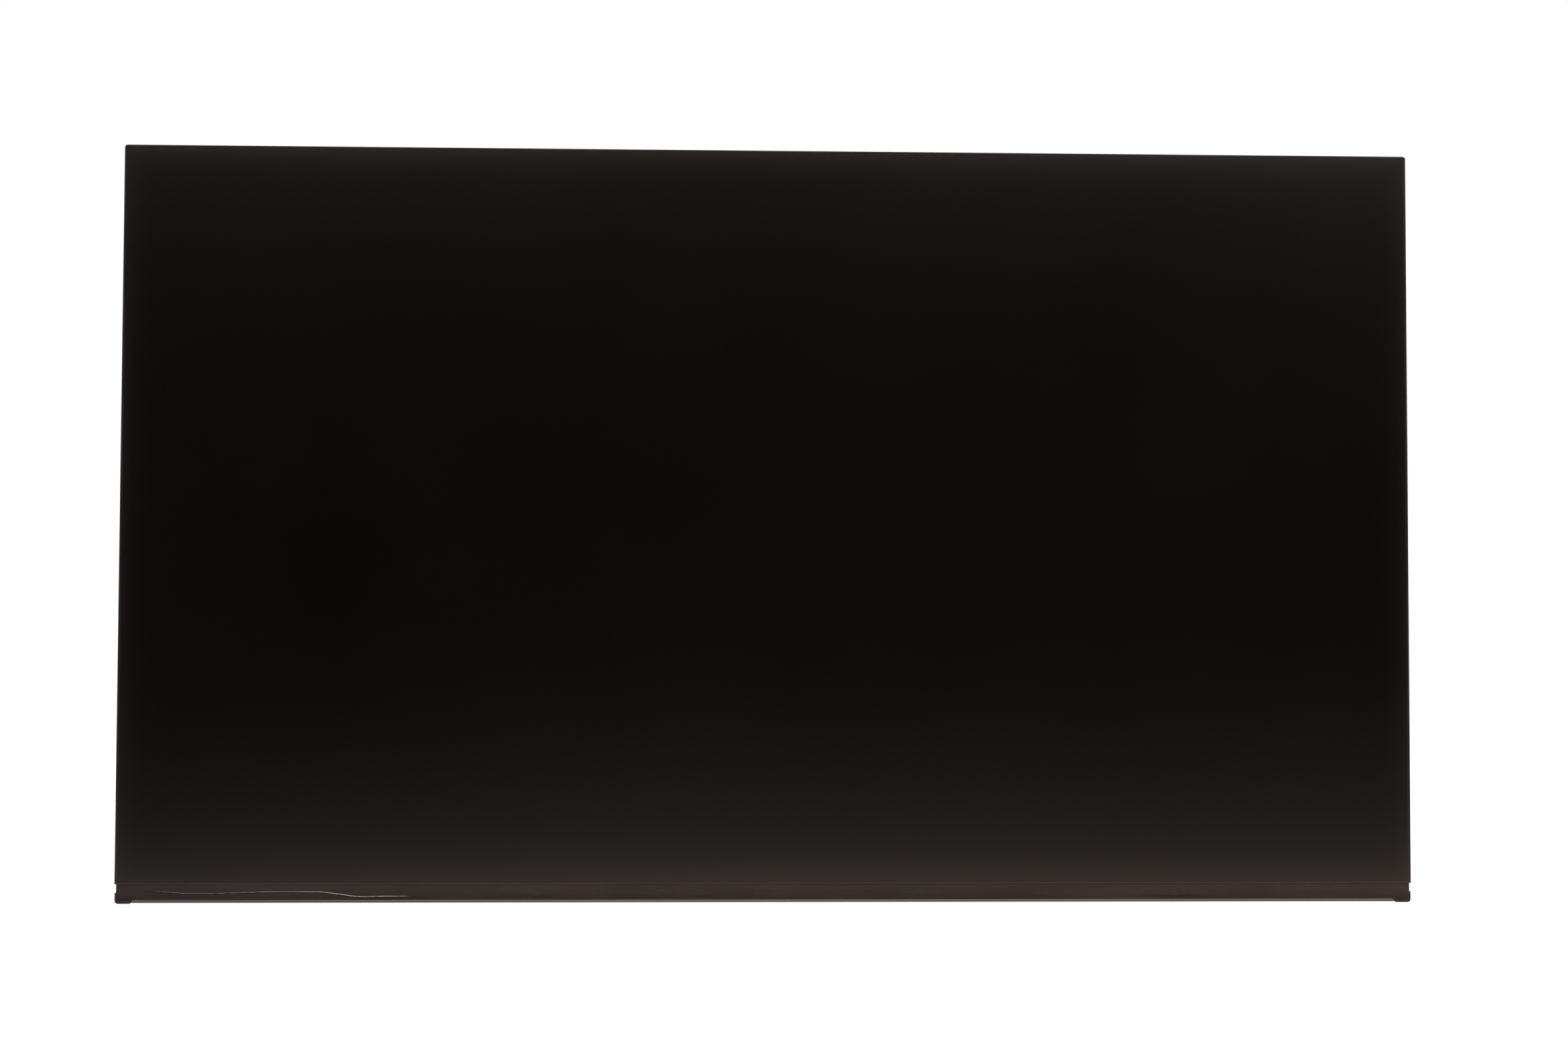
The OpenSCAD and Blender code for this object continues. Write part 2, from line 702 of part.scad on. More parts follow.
module tray_pan() {
    sheet(floor_depth, tray_t)
        box2(-tray_half_w + tray_corner_r, tray_bottom + tray_bend_r,
            tray_half_w - tray_corner_r, tray_top - tray_bend_r);
    swept(-tray_half_w, tray_bottom, tray_half_w, tray_top, tray_corner_r) {
        box2(tray_corner_r - tray_t, tray_lip, tray_corner_r, tray_back - tray_bend_r);
        bend2([tray_corner_r - tray_bend_r, tray_back - tray_bend_r], tray_bend_r, tray_t, [1, 1]);
        box2(0, floor_depth, tray_corner_r - tray_bend_r, tray_back);
    }
}

// Wedge on the tray's wall that snaps into a window of the frame
module tray_catch() {
    front = window_depth + fit;
    back = window_depth + window_w - fit;
    linear_extrude(catch_l, center = true)
        polygon([[-tray_t / 2, front], [0, front], [catch_reach, back], [-tray_t / 2, back]]);
}

module rear_tray() color("#b9bcbe") panel_frame() difference() {
    union() {
        difference() {
            union() {
                tray_pan();
                translate([0, tray_back, 0]) tray_pressings(0, 0);
            }
            translate([0, floor_depth - skim, 0])
                tray_pressings(rib_inset_for(tray_t), skim);
        }
        for (p = fixing_points())
            bore(p, module_depth - tray_t - collar_l, collar_l + tray_t / 2,
                fixing_hole_d + 2 * collar_t);
        for (h = catch_heights(), s = [0, 1])
            translate([0, 0, h]) mirror([s, 0, 0]) translate([tray_half_w, 0, 0]) tray_catch();
        for (x = catch_places())
            translate([x, 0, tray_top]) rotate([0, -90, 0]) tray_catch();
    }
    for (p = fixing_points())
        bore(p, floor_depth, module_depth - floor_depth + cut, fixing_hole_d);
    for (p = concat(board_screw_points(), shield_screw_points()))
        bore(p, floor_depth - cut, tray_t + 2 * cut, screw_d);
    // Slot for the lamp strip's tail
    translate([tail_x - tail_w / 2 - 1, floor_depth - cut, strip_top - tail_t - 2 * fit])
        cube([tail_w + 2, tray_t + 2 * cut, tail_t + 4 * fit]);
    // Holes that located the sheet in its press
    for (x = [-1, 1], h = [ring_bottom - press_hole_gap, ring_top + press_hole_gap])
        bore([x * ring_half_w / 2, h], floor_depth - cut, tray_t + 2 * cut, press_hole_d);
    sheet(floor_depth - cut, tray_t + 2 * cut) {
        slot2([0, ring_top + press_hole_gap], 2 * press_hole_d, press_hole_d);
        for (x = [-1, 1], k = [-1, 0, 1])
            slot2([x * ring_half_w / 2 + 1.7 * row_slot_l * k, ring_top - 1.3 * press_hole_gap],
                row_slot_l, row_slot_w);
    }
}

// Source board

// The long strip with its control section, each edge moved out by the given amount
module board_outline(out) {
    round_box2(-board_half_l - out, board_bottom, board_half_l + out, board_strip_top + out, 1);
    round_box2(-control_w / 2 - out, board_bottom, control_w / 2 + out, board_top + out, 1);
}

function board_screw_points() = concat(
    [for (s = [-1, 1]) [s * (control_w / 2 - board_screw_edge), board_top - board_screw_edge]],
    [for (s = [-1, 1]) [s * (board_half_l - board_screw_edge), board_strip_top - board_screw_edge]]);

module board_insulator() color("#0f3f4c") panel_frame() difference() {
    sheet(tray_back, insulator_t) board_outline(1);
    for (p = board_screw_points())
        bore(p, tray_back - cut, insulator_t + 2 * cut, screw_d + screw_clearance);
}

module source_board() color("#1d5a3a") panel_frame() difference() {
    sheet(board_depth, board_t) board_outline(0);
    for (p = board_screw_points())
        bore(p, board_depth - cut, board_t + 2 * cut, screw_d + screw_clearance);
}

// Body of a square package with a ground-off first corner
module package(at, l, t) {
    c = l / 8;
    sheet(board_face, t) translate(at)
        polygon([[-l / 2, -l / 2], [l / 2, -l / 2], [l / 2, l / 2], [-l / 2 + c, l / 2],
            [-l / 2, l / 2 - c]]);
}

module timing_controller() color("#222326") panel_frame()
    package([controller_x, controller_h], controller_l, chip_case_t);

module power_chip() color("#26272a") panel_frame()
    package([power_chip_x, controller_h], power_chip_l, chip_case_t);

module inductors() color("#3a3a3c") panel_frame()
    for (s = [-1, 1])
        package([power_chip_x + power_chip_l / 2 + 2 * chip_gap + inductor_l / 2,
            controller_h + s * (inductor_l + part_gap) / 2], inductor_l, chip_case_t);

// Ceramic capacitors: a pair above each film, rows along the timing controller and a column below
// the power chip
module capacitors() color("#b08d5b") panel_frame() {
    for (i = [1 : film_count], s = [-1, 1])
        capacitor([film_x(i) + s * film_w / 6, board_bottom + 2 * bond_h + chip_gap]);
    for (k = [-2 : 2], s = [-1, 1])
        capacitor([controller_x + (capacitor_l + part_gap) * k,
            controller_h + s * (controller_l / 2 + chip_gap)]);
    for (k = [0 : 3])
        capacitor([power_chip_x, controller_h - power_chip_l / 2 - chip_gap - (capacitor_w + part_gap) * k]);
    for (k = [-2 : 2])
        capacitor([controller_x - power_chip_away + (capacitor_l + part_gap) * k, controller_h]);
}

module capacitor(at) {
    sheet(board_face, capacitor_t) translate(at) square([capacitor_l, capacitor_w], center = true);
}

// A low housing on the board, its mouth upwards at the board's top edge
module socket_body(x, l, t) {
    difference() {
        translate([x - l / 2, board_face, board_top - socket_d]) cube([l, t, socket_d]);
        translate([x - l / 2 + 2 * socket_wall, board_face + socket_wall, board_top - socket_d / 2])
            cube([l - 4 * socket_wall, t - 2 * socket_wall, socket_d]);
    }
}

// A row of contacts in the mouth of a socket, standing on the socket's inner wall
module contact_row(x, count, pitch, t) {
    for (i = [1 : count])
        translate([x + pitch * (i - (count + 1) / 2) - pitch / 4, board_face + socket_wall,
            board_top - socket_d / 2])
            cube([pitch / 2, t, socket_d / 2 - 2 * fit]);
}

module signal_socket() color("#1c1c1e") panel_frame()
    socket_body(signal_x, signal_l, signal_t);

// Folded steel shell over the signal socket's back and ends
module signal_socket_shell() color("#c9cbcc") panel_frame() difference() {
    l = signal_l + 2 * shell_t;
    union() {
        translate([signal_x - l / 2, board_face, board_top - socket_d + 2 * fit])
            cube([l, signal_t + shell_t, socket_d - 4 * fit]);
        for (s = [-1, 1])
            translate([signal_x + s * (l / 2 + 0.7) - 0.8, board_face, board_top - socket_d + 1])
                cube([1.6, shell_t, 2]);
    }
    translate([signal_x - signal_l / 2, board_face - cut, board_top - socket_d - cut])
        cube([signal_l, signal_t + cut, socket_d + 2 * cut]);
}

module signal_contact_row() color("#c9a24a") panel_frame()
    contact_row(signal_x, signal_contacts, signal_pitch, 0.15);

module backlight_socket() color("#ece8dc") panel_frame()
    socket_body(backlight_x, backlight_l, backlight_t);

module backlight_contact_row() color("#c7c8c9") panel_frame()
    contact_row(backlight_x, backlight_contacts, backlight_pitch, 0.35);

// Shield

// Outline of the shield's back, each edge moved in by the given amount
module shield_outline(in) {
    r = shield_corner_r - in / 2;
    x = shield_half_l - in;
    c = shield_control_half - in;
    bottom = shield_lift + shield_bend_r;
    round_box2(-x, bottom - r, x, shield_strip_top - in, r);
    round_box2(-c, bottom - r, c, shield_top - in, r);
}

// Section of the sheet that passes under the films: back, bend, underside, bend and front lip
module shield_section() {
    r = shield_bend_r;
    t = shield_t;
    turn = shield_lift + r;
    box2(shield_inside, turn, shield_back, turn + r);
    bend2([shield_back - r, turn], r, t, [1, -1]);
    box2(lip_depth + r, shield_lift, shield_back - r, shield_lift + t);
    bend2([lip_depth + r, turn], r, t, [-1, -1]);
    box2(lip_depth, turn, lip_depth + t, lip_top);
}

tab_spacing = (shield_half_l - shield_control_half - 2 * tab_w) / (tab_count / 2 - 1);
function tab_places() = [for (s = [-1, 1], k = [0 : tab_count / 2 - 1])
    s * (shield_control_half + tab_w + k * tab_spacing)];
function shield_screw_points() = concat(
    [for (x = tab_places()) [x, shield_strip_top + tab_l / 2]],
    [for (s = [-1, 1]) [s * (shield_control_half - tab_w), shield_top + tab_l / 2]]);

module shield_tabs() {
    sheet(tray_back, shield_t) for (p = shield_screw_points())
        round_box2(p.x - tab_w / 2, p.y - tab_l / 2 - 1, p.x + tab_w / 2, p.y + tab_l / 2, 0.9);
}

// Long grooves pressed into the back between the gaskets
module shield_grooves(narrower, extra) {
    h = board_strip_top - 3;
    for (i = [1 : film_count])
        mirror([0, 1, 0])
            rib([film_x(i) - film_w / 2, h], [film_x(i) + film_w / 2, h], 0.8 - narrower,
                shield_t + extra);
}

module board_shield() color("#a9acae") panel_frame() difference() {
    union() {
        difference() {
            union() {
                bar(-shield_half_l, shield_half_l) shield_section();
                sheet(shield_inside, shield_t) intersection() {
                    shield_outline(0);
                    box2(-half_w, shield_lift + 2 * shield_bend_r, half_w, outline_h);
                }
                sheet(tray_back, shield_inside - tray_back) intersection() {
                    difference() {
                        shield_outline(0);
                        shield_outline(shield_t);
                    }
                    box2(-half_w, shield_wall_bottom, half_w, outline_h);
                }
                translate([0, shield_inside, 0]) shield_grooves(0, 0);
            }
            translate([0, shield_back + skim, 0])
                shield_grooves(rib_inset_for(shield_t), skim);
        }
        shield_tabs();
    }
    for (p = shield_screw_points())
        bore(p, tray_back - cut, shield_t + 2 * cut, screw_d + screw_clearance);
    // Openings over the two sockets
    for (s = [[signal_x, signal_l], [backlight_x, backlight_l]])
        translate([s.x - s.y / 2 - 2 * window_margin, board_face, board_top - socket_d - window_margin])
            cube([s.y + 4 * window_margin, shield_back, socket_d + shield_margin + 2 * window_margin]);
    // Vent slots over the timing controller
    sheet(shield_inside - cut, shield_t + 2 * cut)
        for (i = [1 : vent_count])
            slot2([controller_x, controller_h + vent_pitch * (i - (vent_count + 1) / 2)],
                vent_l, vent_w);
}

// Conductive foam pads between board and shield, midway between the films
module shield_gaskets() color("#8e8a80") panel_frame()
    sheet(board_face, board_room)
        for (i = [1 : film_count - 1])
            translate([(film_x(i) + film_x(i + 1)) / 2, board_strip_top - gasket_w])
                square([gasket_l, gasket_w], center = true);

// Screws

// Round-headed screw with a cross recess: its thread starts at the tray's floor
module small_screw(at, head_depth) {
    difference() {
        union() {
            bore(at, floor_depth, head_depth - floor_depth + screw_head_t / 2, screw_d);
            bore(at, head_depth, screw_head_t, screw_head_d);
        }
        for (a = [0, 90])
            translate([at.x, head_depth + screw_head_t, at.y]) rotate([0, a, 0])
                cube([screw_head_d / 2, screw_head_t, screw_head_d / 8], center = true);
    }
}

module board_screws() color("#8f9092") panel_frame()
    for (p = board_screw_points()) small_screw(p, board_face);

module shield_screws() color("#6e6f72") panel_frame()
    for (p = shield_screw_points()) small_screw(p, tray_back + shield_t);

front_polariser();
colour_filter_glass();
tft_glass();
rear_polariser();
cell_tape();
cover_tape();
mid_frame();
for (i = [1 : film_count]) {
    driver_film(i);
    driver_chip(i);
}
upper_diffuser_sheet();
upper_prism_sheet();
lower_prism_sheet();
lower_diffuser_sheet();
light_guide_plate();
reflector_sheet();
guide_stoppers();
lamp_cover_strip();
thermal_tape();
lamp_strip();
lamps();
lamp_strip_tail();
rear_tray();
board_insulator();
source_board();
timing_controller();
power_chip();
inductors();
capacitors();
signal_socket();
signal_socket_shell();
signal_contact_row();
backlight_socket();
backlight_contact_row();
shield_gaskets();
board_shield();
board_screws();
shield_screws();
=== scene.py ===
import math

import bmesh
import bpy
from mathutils import Matrix, Vector


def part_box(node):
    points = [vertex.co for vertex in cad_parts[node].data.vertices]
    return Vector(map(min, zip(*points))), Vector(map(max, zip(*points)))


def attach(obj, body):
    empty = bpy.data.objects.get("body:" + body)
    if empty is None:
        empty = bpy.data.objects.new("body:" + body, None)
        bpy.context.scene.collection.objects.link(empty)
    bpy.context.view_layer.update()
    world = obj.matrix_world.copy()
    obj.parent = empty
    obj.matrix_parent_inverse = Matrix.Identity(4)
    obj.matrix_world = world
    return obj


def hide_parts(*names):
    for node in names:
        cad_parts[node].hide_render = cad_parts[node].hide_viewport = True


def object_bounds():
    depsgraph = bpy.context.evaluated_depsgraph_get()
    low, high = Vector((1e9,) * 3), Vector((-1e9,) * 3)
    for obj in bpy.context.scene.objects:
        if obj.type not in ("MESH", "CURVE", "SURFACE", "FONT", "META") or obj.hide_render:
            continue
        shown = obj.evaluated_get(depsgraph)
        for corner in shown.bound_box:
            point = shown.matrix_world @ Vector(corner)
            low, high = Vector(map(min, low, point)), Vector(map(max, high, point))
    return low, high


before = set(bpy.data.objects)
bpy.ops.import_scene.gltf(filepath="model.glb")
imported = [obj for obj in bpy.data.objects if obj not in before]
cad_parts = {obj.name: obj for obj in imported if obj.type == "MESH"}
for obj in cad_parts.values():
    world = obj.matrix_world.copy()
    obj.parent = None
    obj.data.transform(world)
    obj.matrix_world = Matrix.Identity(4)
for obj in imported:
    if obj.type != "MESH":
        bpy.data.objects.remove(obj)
cad_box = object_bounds()
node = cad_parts

# Camera.
# The panel stands upright and is seen almost square on, a little from the left and from just below
# its middle, with a 50 mm lens. The place was fitted to the four corners of the panel in the photo.
eye = Vector((-0.0231, -0.9134, -0.0332))
turn, tilt, roll = math.radians(1.834), math.radians(2.155), math.radians(0.168)
ahead = Vector((math.sin(turn) * math.cos(tilt), math.cos(turn) * math.cos(tilt), math.sin(tilt)))
level = Vector((math.cos(turn), -math.sin(turn), 0))
right = level * math.cos(roll) + level.cross(ahead) * math.sin(roll)
above = right.cross(ahead)
lens = bpy.data.cameras.new("camera")
lens.sensor_width = 36
lens.lens = 50
lens.clip_start = 0.01
camera = bpy.data.objects.new("camera", lens)
camera.matrix_world = Matrix((right, above, -ahead)).transposed().to_4x4()
camera.matrix_world.translation = eye
bpy.context.scene.collection.objects.link(camera)
bpy.context.scene.camera = camera
bpy.context.scene.view_settings.view_transform = "Standard"

# White table and room.
# A white table top under the panel and a white room round it. In reflections only, the table shows
# painted light: a painted contact shadow at the panel's foot, a painted bright band just in front of
# it and painted falloff away from it, so the screen mirrors a light band near its foot.
foot = cad_box[0].z


def stage_sheet(name, corners):
    """A flat sheet of the stage, which is seen or mirrored but is no part of the panel."""
    mesh = bpy.data.meshes.new(name)
    mesh.from_pydata([Vector(c) for c in corners], [], [(0, 1, 2, 3)])
    thing = bpy.data.objects.new(name, mesh)
    bpy.context.scene.collection.objects.link(thing)
    return thing


def empty_surface(name):
    surface = bpy.data.materials.new(name)
    surface.use_nodes = True
    surface.node_tree.nodes.clear()
    return surface, surface.node_tree.nodes, surface.node_tree.links


def span_of(nodes, links, value, start, end, low=0, high=1):
    """Low where the value is at the start or before it, high from the end on, and even between them."""
    span = nodes.new("ShaderNodeMapRange")
    span.inputs["From Min"].default_value = start
    span.inputs["From Max"].default_value = end
    span.inputs["To Min"].default_value = low
    span.inputs["To Max"].default_value = high
    links.new(value, span.inputs["Value"])
    return span.outputs["Result"]


def either(nodes, links, share, first, second):
    """The first shader where the share is nought, the second where it is one."""
    mix = nodes.new("ShaderNodeMixShader")
    links.new(share, mix.inputs["Fac"])
    links.new(first, mix.inputs[1])
    links.new(second, mix.inputs[2])
    return mix.outputs["Shader"]


def tone_curve(nodes, stops, low, high, tint=(1, 1, 1)):
    """A ramp whose stops are given from low to high; the ones below nought are tinted."""
    ramp = nodes.new("ShaderNodeValToRGB")
    points = ramp.color_ramp.elements
    while len(points) < len(stops):
        points.new(0.5)
    for point, (at, tone) in zip(points, stops):
        point.position = (at - low) / (high - low)
        point.color = (*(tone * (share if at < 0 else 1) for share in tint), 1)
    return ramp


table_reach = 30
table = stage_sheet("table", [
    (-table_reach, -table_reach, foot), (table_reach, -table_reach, foot),
    (table_reach, table_reach, foot), (-table_reach, table_reach, foot)])
table_white, nodes, links = empty_surface("table_white")
path = nodes.new("ShaderNodeLightPath")
paint = nodes.new("ShaderNodeBsdfDiffuse")
paint.inputs["Color"].default_value = (0.9, 0.9, 0.9, 1)
glow = nodes.new("ShaderNodeEmission")
glow.inputs["Color"].default_value = (1, 1, 1, 1)
place = nodes.new("ShaderNodeTexCoord")
forward = nodes.new("ShaderNodeSeparateXYZ")
links.new(place.outputs["Object"], forward.inputs["Vector"])

# What the screen mirrors is a painted reflection: a painted contact shadow right at the foot, a bright
# strip just in front of it, painted falloff with distance, and painted dimming towards the left.
mirrored = nodes.new("ShaderNodeEmission")
warm_light = (1.0, 0.91, 0.85)
strip_end = 2
painted_falloff_ramp = tone_curve(nodes, (
    (-2, 0.07), (-1.2, 0.12), (-0.76, 0.18), (-0.48, 0.25), (-0.28, 0.36), (-0.15, 0.55), (-0.08, 0.95),
    (-0.05, 1.0), (-0.024, 0.45), (-0.014, 0.16), (0, 0.15), (0.05, 0.9), (0.5, 0.8), (2, 0.6)),
    low=-strip_end, high=strip_end, tint=warm_light)
links.new(span_of(nodes, links, forward.outputs["Y"], start=-strip_end, end=strip_end), painted_falloff_ramp.inputs["Fac"])
links.new(painted_falloff_ramp.outputs["Color"], mirrored.inputs["Color"])
# Painted dimming: the painted reflection of the table is weaker towards the left.
painted_dimming_left = span_of(nodes, links, forward.outputs["X"], start=-0.4, end=-0.05, low=0.62)
links.new(painted_dimming_left, mirrored.inputs["Strength"])

# What the camera sees: nearly white, with the panel's soft shadow near it and none far away.
away = nodes.new("ShaderNodeVectorMath")
away.operation = "LENGTH"
links.new(place.outputs["Object"], away.inputs[0])
clear = span_of(nodes, links, away.outputs["Value"], start=0.6, end=1.6, low=0.85)
soft_white = either(nodes, links, clear, paint.outputs["BSDF"], glow.outputs["Emission"])
for_camera = either(nodes, links, path.outputs["Is Camera Ray"], paint.outputs["BSDF"], soft_white)
for_gloss = either(nodes, links, path.outputs["Is Glossy Ray"], for_camera, mirrored.outputs["Emission"])
out = nodes.new("ShaderNodeOutputMaterial")
links.new(for_gloss, out.inputs["Surface"])
table.data.materials.append(table_white)

room = bpy.data.worlds.new("room")
room.use_nodes = True
bpy.context.scene.world = room
nodes, links = room.node_tree.nodes, room.node_tree.links
nodes.clear()
path = nodes.new("ShaderNodeLightPath")
seen = path.outputs["Is Camera Ray"]
for ray in ("Is Glossy Ray", "Is Transmission Ray"):
    also = nodes.new("ShaderNodeMath")
    also.operation = "MAXIMUM"
    links.new(seen, also.inputs[0])
    links.new(path.outputs[ray], also.inputs[1])
    seen = also.outputs["Value"]
white = nodes.new("ShaderNodeBackground")
white.inputs["Color"].default_value = (1, 1, 1, 1)
air = nodes.new("ShaderNodeBackground")
air.inputs["Color"].default_value = (0.98, 0.99, 1, 1)
air.inputs["Strength"].default_value = 0.55
out = nodes.new("ShaderNodeOutputWorld")
walls = either(nodes, links, seen, air.outputs["Background"], white.outputs["Background"])
links.new(walls, out.inputs["Surface"])


# A black cloth hung behind the camera and a grey one far behind the panel. Each glows with painted
# light, darkest round its centre and lighter towards its edges, to paint the reflections. Only reflections
# see them.
def hung_cloth(name, y, half_width, top, centre, spread, stops):
    cloth = stage_sheet(name, [
        (-half_width, y, foot), (half_width, y, foot), (half_width, y, top), (-half_width, y, top)])
    surface, nodes, links = empty_surface(name)
    place = nodes.new("ShaderNodeTexCoord")
    oval = nodes.new("ShaderNodeMapping")
    oval.vector_type = "TEXTURE"
    oval.inputs["Location"].default_value = (centre[0], y, centre[1])
    oval.inputs["Scale"].default_value = (spread[0], 1, spread[1])
    far = nodes.new("ShaderNodeVectorMath")
    far.operation = "LENGTH"
    tone = tone_curve(nodes, stops, low=0, high=1)
    # The cloth's painted light: an emission, darkest round its centre and lighter towards its edges.
    shade = nodes.new("ShaderNodeEmission")
    out = nodes.new("ShaderNodeOutputMaterial")
    links.new(place.outputs["Object"], oval.inputs["Vector"])
    links.new(oval.outputs["Vector"], far.inputs[0])
    links.new(far.outputs["Value"], tone.inputs["Fac"])
    links.new(tone.outputs["Color"], shade.inputs["Color"])
    links.new(shade.outputs["Emission"], out.inputs["Surface"])
    cloth.data.materials.append(surface)
    cloth.visible_camera = False
    cloth.visible_diffuse = False
    cloth.visible_shadow = False
    cloth.visible_transmission = False


hung_cloth("black_cloth", y=-1.7, half_width=3.2, top=1.3, centre=(-0.2, -0.03), spread=(3.2, 0.86), stops=(
    (0, 0.004), (0.36, 0.004), (0.54, 0.008), (0.6, 0.04), (0.66, 0.16), (0.78, 0.5), (0.96, 1)))
hung_cloth("grey_cloth", y=2.6, half_width=3, top=2.2, centre=(0, -0.1), spread=(3.2, 2.3), stops=(
    (0, 0.38), (0.3, 0.5), (0.7, 0.75), (1, 1)))


# Three soft lamps: over the camera, over the back, and one from the right.
def soft_lamp(name, at, towards, wide, high, watts):
    light = bpy.data.lights.new(name, "AREA")
    light.shape = "RECTANGLE"
    light.size, light.size_y, light.energy = wide, high, watts
    lamp = bpy.data.objects.new(name, light)
    lamp.location = at
    lamp.rotation_euler = (Vector(towards) - Vector(at)).to_track_quat("-Z", "Y").to_euler()
    bpy.context.scene.collection.objects.link(lamp)


soft_lamp("lamp_front", at=(0.2, -1.2, 1.8), towards=(0, 0, 0), wide=1.8, high=0.9, watts=60)
soft_lamp("lamp_back", at=(-0.3, 1.6, 1.6), towards=(0, 0, 0), wide=3.2, high=2.0, watts=50)
soft_lamp("lamp_right", at=(1.9, -0.5, 0.8), towards=(0, 0, 0), wide=0.9, high=0.9, watts=25)

# Rear tray.
# The tray is pressed from 0.7 mm electro-galvanised sheet steel: walls, ribs, bosses and collars
# in one stroke. The sheet keeps its faint rolling lines and picks up small scuffs in the press.


class Finish:
    """One surface: a shader, with patterns that read the piece's own coordinates in metres."""

    # Places of the colour sockets in a mix node, whose names are shared with its other kinds.
    first_colour, second_colour, mixed_colour = 6, 7, 2

    def __init__(self, name, **fixed):
        self.surface = bpy.data.materials.new(name)
        self.surface.use_nodes = True
        self.nodes = self.surface.node_tree.nodes
        self.links = self.surface.node_tree.links
        self.shader = self.nodes["Principled BSDF"]
        self.coords = self.nodes.new("ShaderNodeTexCoord").outputs["Object"]
        for socket, value in fixed.items():
            self.shader.inputs[socket.replace("_", " ")].default_value = value

    def stretched(self, scale):
        mapping = self.nodes.new("ShaderNodeMapping")
        mapping.inputs["Scale"].default_value = scale
        self.links.new(self.coords, mapping.inputs["Vector"])
        return mapping.outputs["Vector"]

    def cloud(self, scale, detail=3, stretch=(1, 1, 1), roughness=0.55):
        noise = self.nodes.new("ShaderNodeTexNoise")
        noise.inputs["Scale"].default_value = scale
        noise.inputs["Detail"].default_value = detail
        noise.inputs["Roughness"].default_value = roughness
        self.links.new(self.stretched(stretch), noise.inputs["Vector"])
        return noise.outputs["Fac"]

    def cells(self, scale, stretch=(1, 1, 1), feature="F1", output="Color"):
        voronoi = self.nodes.new("ShaderNodeTexVoronoi")
        voronoi.feature = feature
        voronoi.inputs["Scale"].default_value = scale
        self.links.new(self.stretched(stretch), voronoi.inputs["Vector"])
        return voronoi.outputs[output]

    def between(self, value, low, high, start=0.3, end=0.7):
        return span_of(self.nodes, self.links, value, start, end, low, high)

    def combine(self, kind, first, second):
        maths = self.nodes.new("ShaderNodeMath")
        maths.operation = kind
        for socket, value in zip(maths.inputs, (first, second)):
            if isinstance(value, (int, float)):
                socket.default_value = value
            else:
                self.links.new(value, socket)
        return maths.outputs["Value"]

    def mixed(self, value, low, high, start=0.3, end=0.7):
        """Two colours mixed by a pattern; either colour may itself be a pattern."""
        mix = self.nodes.new("ShaderNodeMix")
        mix.data_type = "RGBA"
        share = self.between(value, 0, 1, start=start, end=end)
        self.links.new(share, mix.inputs["Factor"])
        for place, colour in ((self.first_colour, low), (self.second_colour, high)):
            if isinstance(colour, tuple):
                mix.inputs[place].default_value = (*colour, 1)
            else:
                self.links.new(colour, mix.inputs[place])
        return mix.outputs[self.mixed_colour]

    def colour(self, socket):
        self.links.new(socket, self.shader.inputs["Base Color"])

    def roughness(self, socket):
        self.links.new(socket, self.shader.inputs["Roughness"])

    def raised(self, socket, depth, strength):
        """Adds a relief of that depth to the ones already there."""
        bump = self.nodes.new("ShaderNodeBump")
        bump.inputs["Distance"].default_value = depth
        bump.inputs["Strength"].default_value = strength
        self.links.new(socket, bump.inputs["Height"])
        used = self.shader.inputs["Normal"]
        if used.is_linked:
            self.links.new(used.links[0].from_socket, bump.inputs["Normal"])
        self.links.new(bump.outputs["Normal"], used)


def dress(finish, slot, *names):
    """Gives CAD nodes their finish; the slot name is not used."""
    for name in names:
        piece = node[name]
        piece.data.materials.clear()
        piece.data.materials.append(finish.surface)


tray_steel = Finish("galvanised_steel", Metallic=1.0)
rolling = tray_steel.cloud(240, detail=5, stretch=(0.03, 1, 1.4), roughness=0.7)
dulled = tray_steel.cloud(5, detail=3)
zinc = tray_steel.cells(330, stretch=(0.6, 1, 1))
grain = tray_steel.cloud(1900, detail=2)
scuffs = tray_steel.cloud(420, detail=4, stretch=(0.08, 1, 1), roughness=0.8)
tray_colour = tray_steel.mixed(rolling, (0.5, 0.505, 0.51), (0.6, 0.605, 0.61))
tray_colour = tray_steel.mixed(dulled, tray_colour, (0.52, 0.525, 0.52), start=0.4, end=1.1)
tray_colour = tray_steel.mixed(zinc, tray_colour, (0.62, 0.63, 0.64), start=0.2, end=1.6)
tray_steel.colour(tray_steel.mixed(scuffs, tray_colour, (0.74, 0.74, 0.74), start=0.66, end=0.74))
tray_steel.roughness(tray_steel.combine(
    "ADD", tray_steel.between(dulled, 0.33, 0.41), tray_steel.between(rolling, -0.025, 0.03)))
tray_steel.raised(grain, depth=0.00002, strength=0.35)
sheet_buckle = tray_steel.cloud(6.5, detail=2)
tray_steel.raised(sheet_buckle, depth=0.0028, strength=0.5)
dress(tray_steel, "tray_steel", "rear_tray")

# Lamp strip.
# Fifty-six white lamps on an aluminium board, held by thermal tape to the tray's bottom wall,
# with a short flexible tail that leaves through a slot in the tray.
thermal_tape = Finish("thermal_tape", Roughness=0.7)
thermal_tape.colour(thermal_tape.mixed(thermal_tape.cloud(300), (0.5, 0.55, 0.6), (0.66, 0.7, 0.75)))
dress(thermal_tape, "thermal_tape", "thermal_tape")

lamp_board = Finish("white_solder_mask")
lamp_board.colour(lamp_board.mixed(lamp_board.cloud(120), (0.78, 0.78, 0.74), (0.88, 0.88, 0.85)))
lamp_board.roughness(lamp_board.between(lamp_board.cloud(900), 0.28, 0.42))
dress(lamp_board, "lamp_board", "lamp_strip")

lamp_body = Finish("phosphor_and_white_case", Roughness=0.35)
lamp_body.colour(lamp_body.mixed(
    lamp_body.cells(700, output="Distance"), (0.95, 0.86, 0.3), (0.93, 0.92, 0.86)))
dress(lamp_body, "lamp_body", "lamps")


